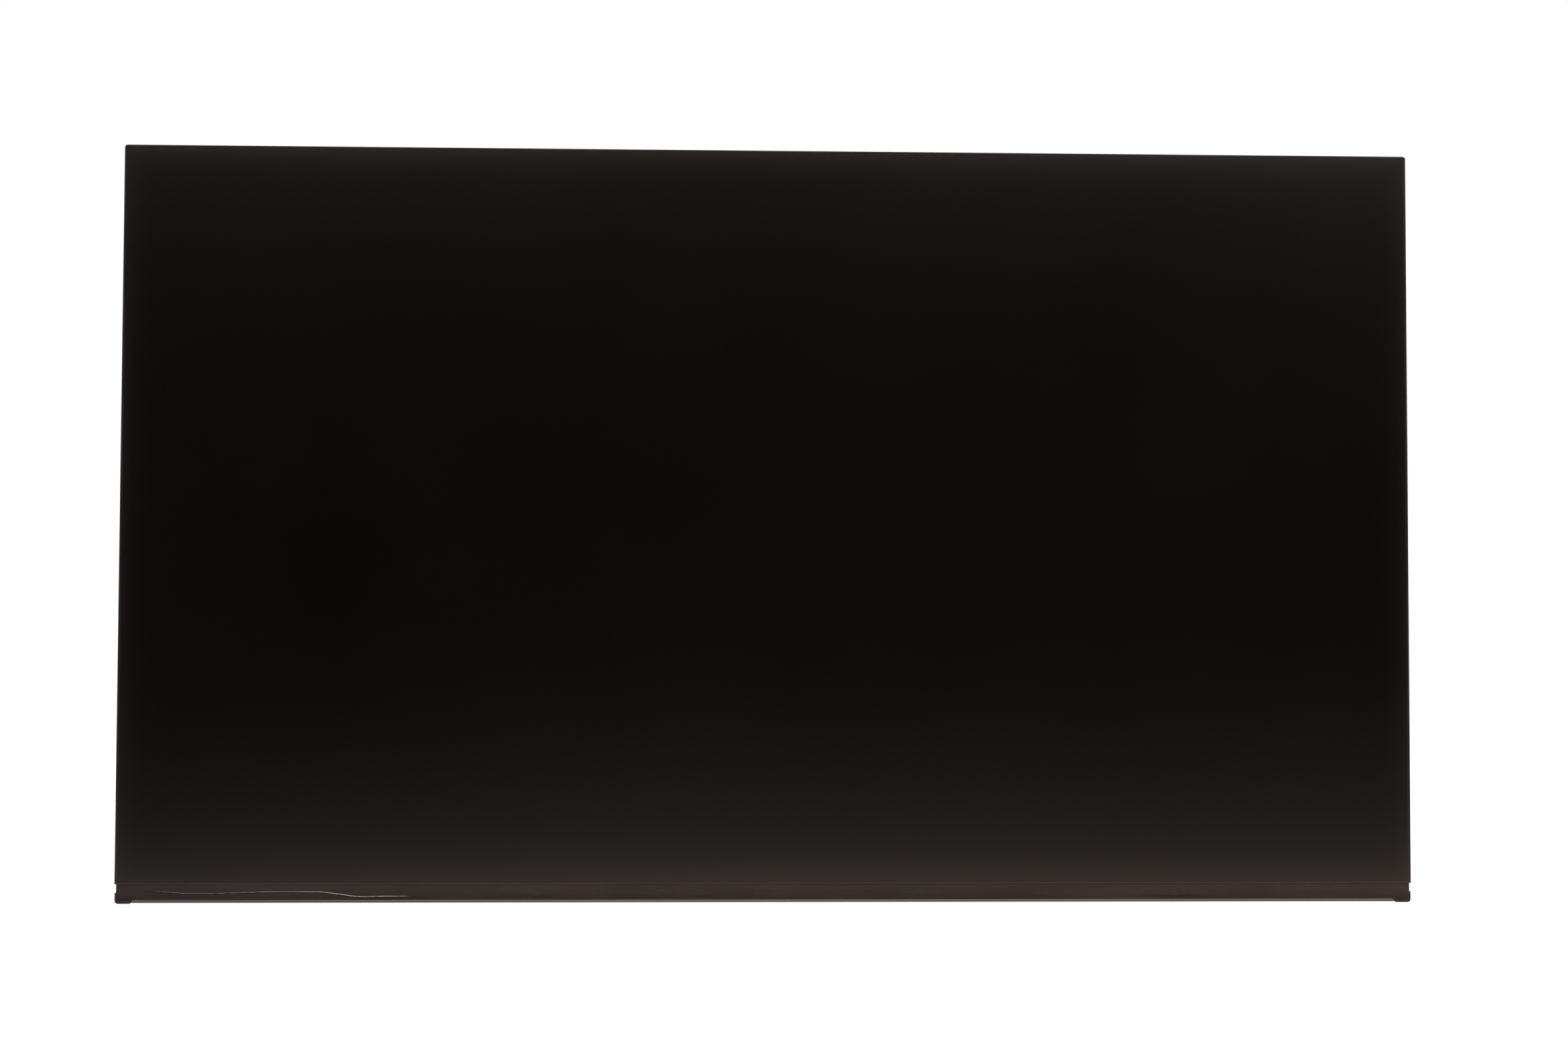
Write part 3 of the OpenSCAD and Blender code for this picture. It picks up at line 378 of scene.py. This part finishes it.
# The tail and the driver films are polyimide: translucent amber with copper tracks under it.
def flexible_film(name, track_scale):
    film = Finish(name, IOR=1.6)
    tracks = film.nodes.new("ShaderNodeTexWave")
    tracks.wave_type, tracks.bands_direction = "BANDS", "X"
    tracks.inputs["Scale"].default_value = track_scale
    tracks.inputs["Distortion"].default_value = 0.0
    film.links.new(film.stretched((1, 1, 1)), tracks.inputs["Vector"])
    stain = film.cloud(160)
    amber = film.mixed(stain, (0.2, 0.07, 0.012), (0.3, 0.12, 0.02))
    film.colour(film.mixed(tracks.outputs["Fac"], amber, (0.42, 0.2, 0.07), start=0.45, end=0.6))
    film.roughness(film.between(stain, 0.22, 0.38))
    film.raised(tracks.outputs["Fac"], depth=0.00001, strength=0.5)
    return film


film_polyimide = flexible_film("polyimide_film", track_scale=900)
dress(film_polyimide, "film_polyimide", "lamp_strip_tail")

# Light guide and sheets.
# A moulded acrylic plate over a white reflector, held at its sides by rubber stoppers, with four
# loose sheets on it. A white strip over the lamps throws their light back into the plate.
white_sheet = Finish("white_reflector_film", Roughness=0.6)
white_sheet.colour(white_sheet.mixed(white_sheet.cloud(90), (0.88, 0.89, 0.9), (0.93, 0.935, 0.94)))
dress(
    white_sheet, "white_sheet",
    "reflector_sheet", "upper_diffuser_sheet", "lower_diffuser_sheet", "lamp_cover_strip")

prism_sheet = Finish("prism_film")
prism_sheet.colour(prism_sheet.mixed(prism_sheet.cloud(70), (0.76, 0.8, 0.83), (0.84, 0.87, 0.9)))
prism_lines = prism_sheet.cloud(2500, detail=2, stretch=(0.02, 1, 1))
prism_sheet.roughness(prism_sheet.between(prism_lines, 0.15, 0.35))
dress(prism_sheet, "prism_sheet", "upper_prism_sheet", "lower_prism_sheet")

light_guide = Finish("clear_acrylic", IOR=1.49, Transmission_Weight=0.6)
light_guide.colour(light_guide.mixed(light_guide.cloud(40), (0.82, 0.9, 0.9), (0.9, 0.95, 0.95)))
light_guide.roughness(light_guide.between(light_guide.cloud(200), 0.03, 0.1))
dress(light_guide, "light_guide", "light_guide_plate")

stopper_rubber = Finish("stopper_rubber", Roughness=0.75)
stopper_rubber.colour(stopper_rubber.mixed(stopper_rubber.cloud(500), (0.78, 0.77, 0.72), (0.88, 0.87, 0.84)))
dress(stopper_rubber, "stopper_rubber", "guide_stoppers")

# Moulded frame.
# One thin moulding in black glass-filled plastic carries the cell and clips over the tray. Its
# outside has a fine eroded texture that is rubbed smoother and browner in places.
frame_plastic = Finish("black_moulding", IOR=1.48, Specular_Tint=(1.0, 0.9, 0.82, 1))
erosion = frame_plastic.cloud(2600, detail=3)
flow = frame_plastic.cloud(22, detail=4)
rubbed = frame_plastic.cloud(300, detail=4, stretch=(0.25, 1, 0.25))
moulding = frame_plastic.mixed(flow, (0.014, 0.0105, 0.0082), (0.021, 0.0155, 0.0118))
frame_plastic.colour(frame_plastic.mixed(rubbed, moulding, (0.042, 0.029, 0.021), start=0.5, end=0.85))
frame_plastic.roughness(frame_plastic.combine(
    "ADD", frame_plastic.between(flow, 0.36, 0.46), frame_plastic.between(rubbed, 0.03, -0.07)))
frame_plastic.raised(erosion, depth=0.00002, strength=0.5)
dress(frame_plastic, "frame_plastic", "mid_frame")

# Cell.
# Two glass plates with liquid crystal between them, and a polariser on each side. The front one
# has an anti-glare skin that spreads reflections. The plates' borders are printed black inside.
screen_polariser = Finish("anti_glare_polariser", IOR=1.5, Specular_Tint=(1.0, 0.86, 0.79, 1))
haze = screen_polariser.cloud(9, detail=3)
sparkle = screen_polariser.cloud(5200, detail=2)
skin = screen_polariser.mixed(haze, (0.0014, 0.0014, 0.0012), (0.0017, 0.0017, 0.0015))


def near_rim(finish, name, reach, side_lag):
    """One at a plate's top edge, less at its sides, and falling off over the reach to its middle."""
    low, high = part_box(name)
    across = finish.nodes.new("ShaderNodeSeparateXYZ")
    finish.links.new(finish.coords, across.inputs["Vector"])
    off_middle = finish.combine("SUBTRACT", across.outputs["X"], (low.x + high.x) / 2)
    from_middle = finish.combine("ABSOLUTE", off_middle, 0)
    from_side = finish.combine("SUBTRACT", (high.x - low.x) / 2 + side_lag, from_middle)
    from_top = finish.combine("SUBTRACT", high.z, across.outputs["Z"])
    nearest = finish.combine("MINIMUM", from_side, from_top)
    return finish.combine("POWER", math.exp(-1), finish.combine("DIVIDE", nearest, reach))


# Painted light: the polariser's colour is lighter and browner near its top edge, less so at its sides, fading
# towards the middle.
painted_rim_glow = near_rim(screen_polariser, "front_polariser", reach=0.0038, side_lag=0.0026)
screen_polariser.colour(screen_polariser.mixed(painted_rim_glow, skin, (0.0086, 0.0062, 0.0044), start=0, end=1))
screen_polariser.roughness(screen_polariser.between(haze, 0.165, 0.185))
screen_polariser.raised(sparkle, depth=0.000004, strength=0.3)
dress(screen_polariser, "screen_polariser", "front_polariser")

inner_polariser = Finish("inner_polariser")
inner_polariser.colour(inner_polariser.mixed(
    inner_polariser.cloud(50), (0.035, 0.036, 0.045), (0.06, 0.06, 0.07)))
inner_polariser.roughness(inner_polariser.between(inner_polariser.cloud(800), 0.2, 0.3))
dress(inner_polariser, "inner_polariser", "rear_polariser")

screen_glass = Finish("printed_glass", IOR=1.52, Specular_Tint=(1.0, 0.84, 0.83, 1))
screen_glass.colour(screen_glass.mixed(screen_glass.cloud(120), (0.010, 0.008, 0.008), (0.016, 0.012, 0.012)))
screen_glass.roughness(screen_glass.between(screen_glass.cloud(400), 0.06, 0.12))
dress(screen_glass, "screen_glass", "colour_filter_glass", "tft_glass")

black_tape = Finish("black_film_tape", IOR=1.47, Specular_Tint=(1.0, 0.8, 0.79, 1))
tape_skin = black_tape.cloud(70, detail=4, stretch=(0.3, 1, 1))
black_tape.colour(black_tape.mixed(tape_skin, (0.011, 0.0075, 0.0064), (0.018, 0.0125, 0.011)))
black_tape.roughness(black_tape.between(black_tape.cloud(500, detail=3, stretch=(0.1, 1, 1)), 0.22, 0.36))
black_tape.raised(black_tape.cloud(150, detail=3, stretch=(0.25, 1, 1)), depth=0.00004, strength=0.3)
dress(black_tape, "black_tape", "cell_tape")

# Driver films.
# Six flexible films are bonded to the rear glass, bend under the frame and end on the board.
# Each carries a long thin driver chip in bare silicon.
films = sorted(name for name in node if name.startswith("driver_film"))
chips = sorted(name for name in node if name.startswith("driver_chip"))
dress(film_polyimide, "film_polyimide", *films)

chip_silicon = Finish("polished_silicon", Metallic=0.6)
chip_silicon.colour(chip_silicon.mixed(chip_silicon.cloud(900), (0.04, 0.045, 0.06), (0.09, 0.09, 0.1)))
chip_silicon.roughness(chip_silicon.between(chip_silicon.cloud(300), 0.1, 0.22))
dress(chip_silicon, "chip_silicon", *chips)

# Source board.
# A thin green circuit board lies on an insulating sheet behind the tray. It holds the timing
# controller, the power chip, their inductors and capacitors, and the two sockets.
insulator_film = Finish("insulating_sheet")
insulator_film.colour(insulator_film.mixed(
    insulator_film.cloud(60), (0.02, 0.02, 0.023), (0.032, 0.032, 0.036)))
insulator_film.roughness(insulator_film.between(insulator_film.cloud(700), 0.3, 0.45))
dress(insulator_film, "insulator_film", "board_insulator")

board_laminate = Finish("green_solder_mask", IOR=1.5, Coat_Weight=0.4, Coat_Roughness=0.15)
tracks = board_laminate.cells(260, feature="DISTANCE_TO_EDGE", output="Distance")
weave = board_laminate.cloud(1400, detail=2)
mask = board_laminate.mixed(weave, (0.012, 0.11, 0.05), (0.02, 0.15, 0.07))
board_laminate.colour(board_laminate.mixed(tracks, (0.03, 0.22, 0.11), mask, start=0.03, end=0.06))
board_laminate.roughness(board_laminate.between(weave, 0.3, 0.42))
board_laminate.raised(tracks, depth=0.00003, strength=0.4)
dress(board_laminate, "board_laminate", "source_board")

chip_package = Finish("moulded_chip_case")
chip_package.colour(chip_package.mixed(chip_package.cloud(1500), (0.02, 0.02, 0.022), (0.035, 0.035, 0.038)))
chip_package.roughness(chip_package.between(chip_package.cloud(2500), 0.5, 0.65))
chip_package.raised(chip_package.cloud(4000), depth=0.00001, strength=0.6)
dress(chip_package, "chip_package", "timing_controller", "power_chip", "inductors")

capacitor_ceramic = Finish("capacitor_ceramic", Roughness=0.4)
capacitor_ceramic.colour(capacitor_ceramic.mixed(
    capacitor_ceramic.cloud(600), (0.42, 0.28, 0.14), (0.55, 0.4, 0.24)))
dress(capacitor_ceramic, "capacitor_ceramic", "capacitors")

socket_black = Finish("black_socket_plastic")
socket_black.colour(socket_black.mixed(socket_black.cloud(400), (0.02, 0.02, 0.02), (0.035, 0.035, 0.035)))
socket_black.roughness(socket_black.between(socket_black.cloud(1200), 0.35, 0.5))
dress(socket_black, "socket_black", "signal_socket")

socket_white = Finish("white_socket_plastic")
socket_white.colour(socket_white.mixed(socket_white.cloud(300), (0.62, 0.59, 0.51), (0.69, 0.67, 0.6)))
socket_white.roughness(socket_white.between(socket_white.cloud(1200), 0.35, 0.5))
dress(socket_white, "socket_white", "backlight_socket")


def plain_metal(name, dark, light, rough_low, rough_high, streak=(1, 1, 1)):
    metal = Finish(name, Metallic=1.0)
    lines = metal.cloud(800, detail=4, stretch=streak, roughness=0.7)
    metal.colour(metal.mixed(lines, dark, light))
    metal.roughness(metal.between(metal.cloud(200, detail=4), rough_low, rough_high))
    metal.raised(lines, depth=0.00001, strength=0.3)
    return metal


socket_shell = plain_metal(
    "tinned_shell", dark=(0.62, 0.63, 0.64), light=(0.76, 0.77, 0.78),
    rough_low=0.18, rough_high=0.32, streak=(0.1, 1, 1))
dress(socket_shell, "socket_shell", "signal_socket_shell")
contact_gold = plain_metal(
    "gold_plate", dark=(0.72, 0.5, 0.2), light=(0.85, 0.64, 0.3), rough_low=0.18, rough_high=0.3)
dress(contact_gold, "contact_gold", "signal_contact_row")
contact_tin = plain_metal(
    "tin_plate", dark=(0.68, 0.68, 0.7), light=(0.8, 0.8, 0.82), rough_low=0.25, rough_high=0.4)
dress(contact_tin, "contact_tin", "backlight_contact_row")

# Cover tape.
# A strip of thin black film tape hides the bonded films below the screen. It was laid by hand, so
# it has one long crease near its left end and three short ones, pressed up out of the film.
tape_low, tape_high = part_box("cover_tape")

# A crease is a row of points: place along the strip, height above the foot, and strength.
crease = (
    (-0.2570, 0.00505, 0.0), (-0.2500, 0.00488, 0.6), (-0.2440, 0.00445, 0.7), (-0.2393, 0.0041, 0.75),
    (-0.2281, 0.00408, 0.72), (-0.2178, 0.00436, 0.72), (-0.2075, 0.00474, 0.75), (-0.1954, 0.00478, 0.8),
    (-0.1842, 0.00472, 0.9), (-0.1810, 0.00430, 0.95), (-0.1747, 0.00353, 1.0), (-0.1704, 0.00287, 0.95),
    (-0.1661, 0.00259, 0.95), (-0.1592, 0.00287, 0.85), (-0.1489, 0.00287, 0.7), (-0.1440, 0.00243, 0.0))
short_creases = (
    ((-0.1030, 0.0034, 0.0), (-0.0990, 0.0032, 0.4), (-0.0950, 0.0030, 0.45), (-0.0880, 0.0032, 0.0)),
    ((-0.0335, 0.0035, 0.0), (-0.0305, 0.0034, 0.3), (-0.0270, 0.0032, 0.35), (-0.0225, 0.0034, 0.0)),
    ((0.1520, 0.0031, 0.0), (0.1600, 0.0030, 0.35), (0.1700, 0.0030, 0.4), (0.1800, 0.0032, 0.0)))
crease_rise = 0.0003
crease_half_width = 0.00042
crease_sharpness = 1.4
shoulder_rise = 0.00004
shoulder_width = 3 * crease_half_width
waviness = 0.000012
long_wave, short_wave, wave_slant = 31, 95, 420


def along(line, x):
    """Height above the foot and strength of a crease at x, or nothing beyond its ends."""
    for (x0, h0, s0), (x1, h1, s1) in zip(line, line[1:]):
        if x0 <= x <= x1:
            t = (x - x0) / (x1 - x0)
            return h0 + (h1 - h0) * t, s0 + (s1 - s0) * t
    return None


def lifted(x, height):
    """How far the tape's face stands out at a point, from its creases and its slight waviness."""
    out = waviness * math.sin(x * short_wave) * math.sin(x * long_wave + height * wave_slant)
    for line in (crease, *short_creases):
        found = along(line, x)
        if found:
            middle, strength = found
            off = abs(height - middle)
            out += crease_rise * strength * max(0.0, 1 - off / crease_half_width) ** crease_sharpness
            out += shoulder_rise * strength * math.exp(-(off / shoulder_width) ** 2)
    return out


def evenly(start, end, steps):
    return [start + (end - start) * i / steps for i in range(steps + 1)]


# The grid has even columns, and closer ones along each crease.
even_columns, even_rows = 160, 48
crease_step = 0.0006
stations = {tape_low.x, tape_high.x, *evenly(tape_low.x, tape_high.x, even_columns)}
for line in (crease, *short_creases):
    start, end = line[0][0], line[-1][0]
    stations.update(evenly(start, end, int((end - start) / crease_step)))
columns = sorted(stations)
rows = evenly(tape_low.z, tape_high.z, even_rows)
tape_mesh = bmesh.new()
edge_width = 1e-9
front_face = []
for x in columns:
    front_face.append([])
    for z in rows:
        inside = min(x - tape_low.x, tape_high.x - x, z - tape_low.z, tape_high.z - z) > edge_width
        rise = lifted(x, z - foot) if inside else 0
        front_face[-1].append(tape_mesh.verts.new((x, tape_low.y - rise, z)))
back_face = [[tape_mesh.verts.new((v.co.x, tape_high.y, v.co.z)) for v in column] for column in front_face]
for i in range(len(columns) - 1):
    for j in range(len(rows) - 1):
        for face, order in ((front_face, 1), (back_face, -1)):
            corners = (face[i][j], face[i + 1][j], face[i + 1][j + 1], face[i][j + 1])
            tape_mesh.faces.new(corners[::order])
last_column, last_row = len(columns) - 1, len(rows) - 1
rim = [(i, 0) for i in range(last_column)] + [(last_column, j) for j in range(last_row)]
rim += [(i, last_row) for i in range(last_column, 0, -1)] + [(0, j) for j in range(last_row, 0, -1)]
for (i, j), (k, m) in zip(rim, rim[1:] + rim[:1]):
    tape_mesh.faces.new((front_face[k][m], front_face[i][j], back_face[i][j], back_face[k][m]))
bmesh.ops.recalc_face_normals(tape_mesh, faces=tape_mesh.faces)


def piece_from(name, mesh, sharp_from):
    """A finished piece from a mesh, smooth but for edges sharper than an angle in degrees."""
    mesh.name = name
    mesh.shade_smooth()
    mesh.set_sharp_from_angle(angle=math.radians(sharp_from))
    thing = bpy.data.objects.new(name, mesh)
    bpy.context.scene.collection.objects.link(thing)
    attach(thing, "root")
    return thing


def mesh_of(name, shape):
    mesh = bpy.data.meshes.new(name)
    shape.to_mesh(mesh)
    shape.free()
    return mesh


tape_skin_mesh = mesh_of("creased_cover_tape", tape_mesh)
tape_skin_mesh.materials.append(black_tape.surface)
creased_tape = piece_from("creased_cover_tape", tape_skin_mesh, sharp_from=40)
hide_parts("cover_tape")

# Board shield.
# A thin bright steel pan covers the board and wraps under the bottom edge to a narrow lip in
# front. Conductive cloth pads seal it and eight small screws hold its tabs to the tray.
gasket_cloth = Finish("conductive_cloth", Metallic=0.6)
gasket_weave = gasket_cloth.cells(2200, output="Distance")
gasket_cloth.colour(gasket_cloth.mixed(gasket_weave, (0.3, 0.29, 0.27), (0.52, 0.5, 0.46)))
gasket_cloth.roughness(gasket_cloth.between(gasket_weave, 0.4, 0.6))
gasket_cloth.raised(gasket_weave, depth=0.00005, strength=0.6)
dress(gasket_cloth, "gasket_cloth", "shield_gaskets")

shield_steel = Finish("bright_sheet_steel", Metallic=1.0)
shield_lines = shield_steel.cloud(320, detail=5, stretch=(0.02, 1, 1), roughness=0.75)
shield_blotch = shield_steel.cloud(24, detail=3)
shield_steel.colour(shield_steel.mixed(shield_lines, (0.5, 0.485, 0.465), (0.58, 0.565, 0.545)))
shield_steel.roughness(shield_steel.combine(
    "ADD", shield_steel.between(shield_blotch, 0.24, 0.34), shield_steel.between(shield_lines, -0.03, 0.04)))
shield_steel.raised(shield_lines, depth=0.00001, strength=0.2)
dress(shield_steel, "shield_steel", "board_shield")

# Small screws.
# Round-headed 2 mm screws, nickel plated, with a cross recess and a rolled thread. Four hold the
# board to the tray and eight hold the shield's tabs. Each was driven home at its own turn.
screw_steel = plain_metal(
    "nickel_plated_screw", dark=(0.46, 0.455, 0.44), light=(0.6, 0.59, 0.57), rough_low=0.2, rough_high=0.34)

# One screw in millimetres. The profile of the head gives radius and height, from its top outwards.
millimetre = 0.001
screw_head_height = 0.7
screw_head_profile = (
    (0, 0.7), (0.45, 0.69), (0.85, 0.655), (1.2, 0.59), (1.5, 0.5), (1.74, 0.385), (1.9, 0.26), (1.98, 0.14),
    (2.0, 0.06), (1.97, 0.0))
screw_sides = 28
thread_pitch = 0.4
thread_outer, thread_core = 1.0, 0.8
recess_size, recess_depth = 2.4, 0.45
turn_seed = 4


def solid_boxes(name):
    """The lowest and highest corner of each separate solid in a CAD node."""
    weld_distance = 1e-6
    shape = bmesh.new()
    shape.from_mesh(node[name].data)
    bmesh.ops.remove_doubles(shape, verts=shape.verts, dist=weld_distance)
    boxes, left = [], set(shape.verts)
    while left:
        reached, group = [left.pop()], []
        while reached:
            vertex = reached.pop()
            group.append(tuple(vertex.co))
            for edge in vertex.link_edges:
                other = edge.other_vert(vertex)
                if other in left:
                    left.remove(other)
                    reached.append(other)
        boxes.append((tuple(map(min, zip(*group))), tuple(map(max, zip(*group)))))
    shape.free()
    return sorted(boxes)


def turned(profile, around):
    """A closed shape turned about the Y axis; its profile starts and ends on the axis."""
    shape = bmesh.new()
    rings = []
    for radius, height in profile:
        turns = [math.tau * i / around for i in range(around if radius else 1)]
        rings.append([shape.verts.new((radius * math.cos(a), height, radius * math.sin(a))) for a in turns])
    for upper, lower in zip(rings, rings[1:]):
        for i in range(around):
            around_face = ((upper, i), (upper, i + 1), (lower, i + 1), (lower, i))
            corners = [ring[k % len(ring)] for ring, k in around_face]
            shape.faces.new(list(dict.fromkeys(corners)))
    bmesh.ops.recalc_face_normals(shape, faces=shape.faces)
    return shape


def loose(name, shape):
    """A helper shape for the tree that is thrown away afterwards."""
    return bpy.data.objects.new(name, mesh_of(name, shape))


def screw_tree():
    """Cuts a cross recess in a screw and sets one screw, turned at random, on each seat."""
    tree = bpy.data.node_groups.new("screws_on_seats", "GeometryNodeTree")
    sockets = {}
    for name, kind, value in (
            ("Seats", "NodeSocketGeometry", None), ("Screw", "NodeSocketObject", None),
            ("Cross", "NodeSocketObject", None), ("Head height", "NodeSocketFloat", screw_head_height),
            ("Recess size", "NodeSocketFloat", recess_size),
            ("Recess depth", "NodeSocketFloat", recess_depth),
            ("Scale", "NodeSocketFloat", millimetre), ("Seed", "NodeSocketInt", turn_seed)):
        socket = tree.interface.new_socket(name=name, in_out="INPUT", socket_type=kind)
        if value is not None:
            socket.default_value = value
        sockets[name] = socket.identifier
    tree.interface.new_socket(name="Screws", in_out="OUTPUT", socket_type="NodeSocketGeometry")
    nodes, links = tree.nodes, tree.links
    given = nodes.new("NodeGroupInput")

    def fetched(name):
        info = nodes.new("GeometryNodeObjectInfo")
        links.new(given.outputs[name], info.inputs["Object"])
        return info.outputs["Geometry"]

    cut = nodes.new("GeometryNodeMeshBoolean")
    cut.operation, cut.solver = "DIFFERENCE", "EXACT"
    links.new(fetched("Screw"), cut.inputs["Mesh 1"])
    cross_size = nodes.new("ShaderNodeCombineXYZ")
    for axis, name in zip("XYZ", ("Recess size", "Recess depth", "Recess size")):
        links.new(given.outputs[name], cross_size.inputs[axis])
    cross_place = nodes.new("ShaderNodeCombineXYZ")
    links.new(given.outputs["Head height"], cross_place.inputs["Y"])
    punch = nodes.new("GeometryNodeTransform")
    links.new(fetched("Cross"), punch.inputs["Geometry"])
    links.new(cross_size.outputs["Vector"], punch.inputs["Scale"])
    links.new(cross_place.outputs["Vector"], punch.inputs["Translation"])
    links.new(punch.outputs["Geometry"], cut.inputs["Mesh 2"])
    turn_by = nodes.new("FunctionNodeRandomValue")
    turn_by.data_type = "FLOAT_VECTOR"
    turn_by.inputs["Min"].default_value = (0, 0, 0)
    turn_by.inputs["Max"].default_value = (0, math.tau, 0)
    links.new(given.outputs["Seed"], turn_by.inputs["Seed"])
    driven = nodes.new("GeometryNodeInstanceOnPoints")
    links.new(given.outputs["Seats"], driven.inputs["Points"])
    links.new(cut.outputs["Mesh"], driven.inputs["Instance"])
    links.new(turn_by.outputs["Value"], driven.inputs["Rotation"])
    links.new(given.outputs["Scale"], driven.inputs["Scale"])
    whole = nodes.new("GeometryNodeRealizeInstances")
    links.new(driven.outputs["Instances"], whole.inputs["Geometry"])
    plated = nodes.new("GeometryNodeSetMaterial")
    plated.inputs["Material"].default_value = screw_steel.surface
    links.new(whole.outputs["Geometry"], plated.inputs["Geometry"])
    result = nodes.new("NodeGroupOutput")
    links.new(plated.outputs["Geometry"], result.inputs["Screws"])
    return tree, sockets


# The punch for the recess is a cross one unit wide and deep, which the tree brings to size. Each
# ring gives its height and how much of the arms' length and width it has: it narrows downwards.
punch_mesh = bmesh.new()
arm_end, arm_side = 0.5, 0.1
quarter_outline = ((arm_side, arm_end), (arm_side, arm_side), (arm_end, arm_side))
above_head, recess_floor = (0.5, 1.12, 1.1), (-1, 0.6, 0.8)
punch_rings = []
for height, end_share, side_share in (above_head, recess_floor):
    shares = {arm_end: end_share, arm_side: side_share}
    ring = []
    for turns in range(4):
        for x, z in quarter_outline:
            x, z = x * shares[x], z * shares[z]
            for _ in range(turns):
                x, z = z, -x
            ring.append(punch_mesh.verts.new((x, height, z)))
    punch_rings.append(ring)
    punch_mesh.faces.new(ring)
upper, lower = punch_rings
for i in range(len(upper)):
    j = (i + 1) % len(upper)
    punch_mesh.faces.new((upper[i], upper[j], lower[j], lower[i]))
bmesh.ops.recalc_face_normals(punch_mesh, faces=punch_mesh.faces)
cross_punch = loose("cross_punch", punch_mesh)
tree, sockets = screw_tree()

# The shank gets ridges for a thread, and each screw sits where the solid of its node does.
for name in ("board_screws", "shield_screws"):
    boxes = solid_boxes(name)
    length = (boxes[0][1][1] - boxes[0][0][1]) / millimetre - screw_head_height
    ridges = max(1, int(length / thread_pitch))
    profile = [*screw_head_profile, (thread_outer, 0)]
    for i in range(ridges):
        profile += [(thread_core, -length * (i + 0.5) / ridges), (thread_outer, -length * (i + 1) / ridges)]
    blank = loose("screw_blank", turned([*profile, (0, -length)], around=screw_sides))
    seats = bmesh.new()
    for low, high in boxes:
        seat = high[1] - screw_head_height * millimetre
        seats.verts.new(((low[0] + high[0]) / 2, seat, (low[2] + high[2]) / 2))
    seat_points = loose("seat_points", seats)
    bpy.context.scene.collection.objects.link(seat_points)
    setting = seat_points.modifiers.new("screws", "NODES")
    setting.node_group = tree
    setting[sockets["Screw"]] = blank
    setting[sockets["Cross"]] = cross_punch
    evaluated = seat_points.evaluated_get(bpy.context.evaluated_depsgraph_get())
    mesh = bpy.data.meshes.new_from_object(evaluated)
    driven_screws = piece_from(f"driven_{name}", mesh, sharp_from=35)
    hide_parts(name)
    for helper in (seat_points, blank):
        bpy.data.objects.remove(helper)
bpy.data.objects.remove(cross_punch)
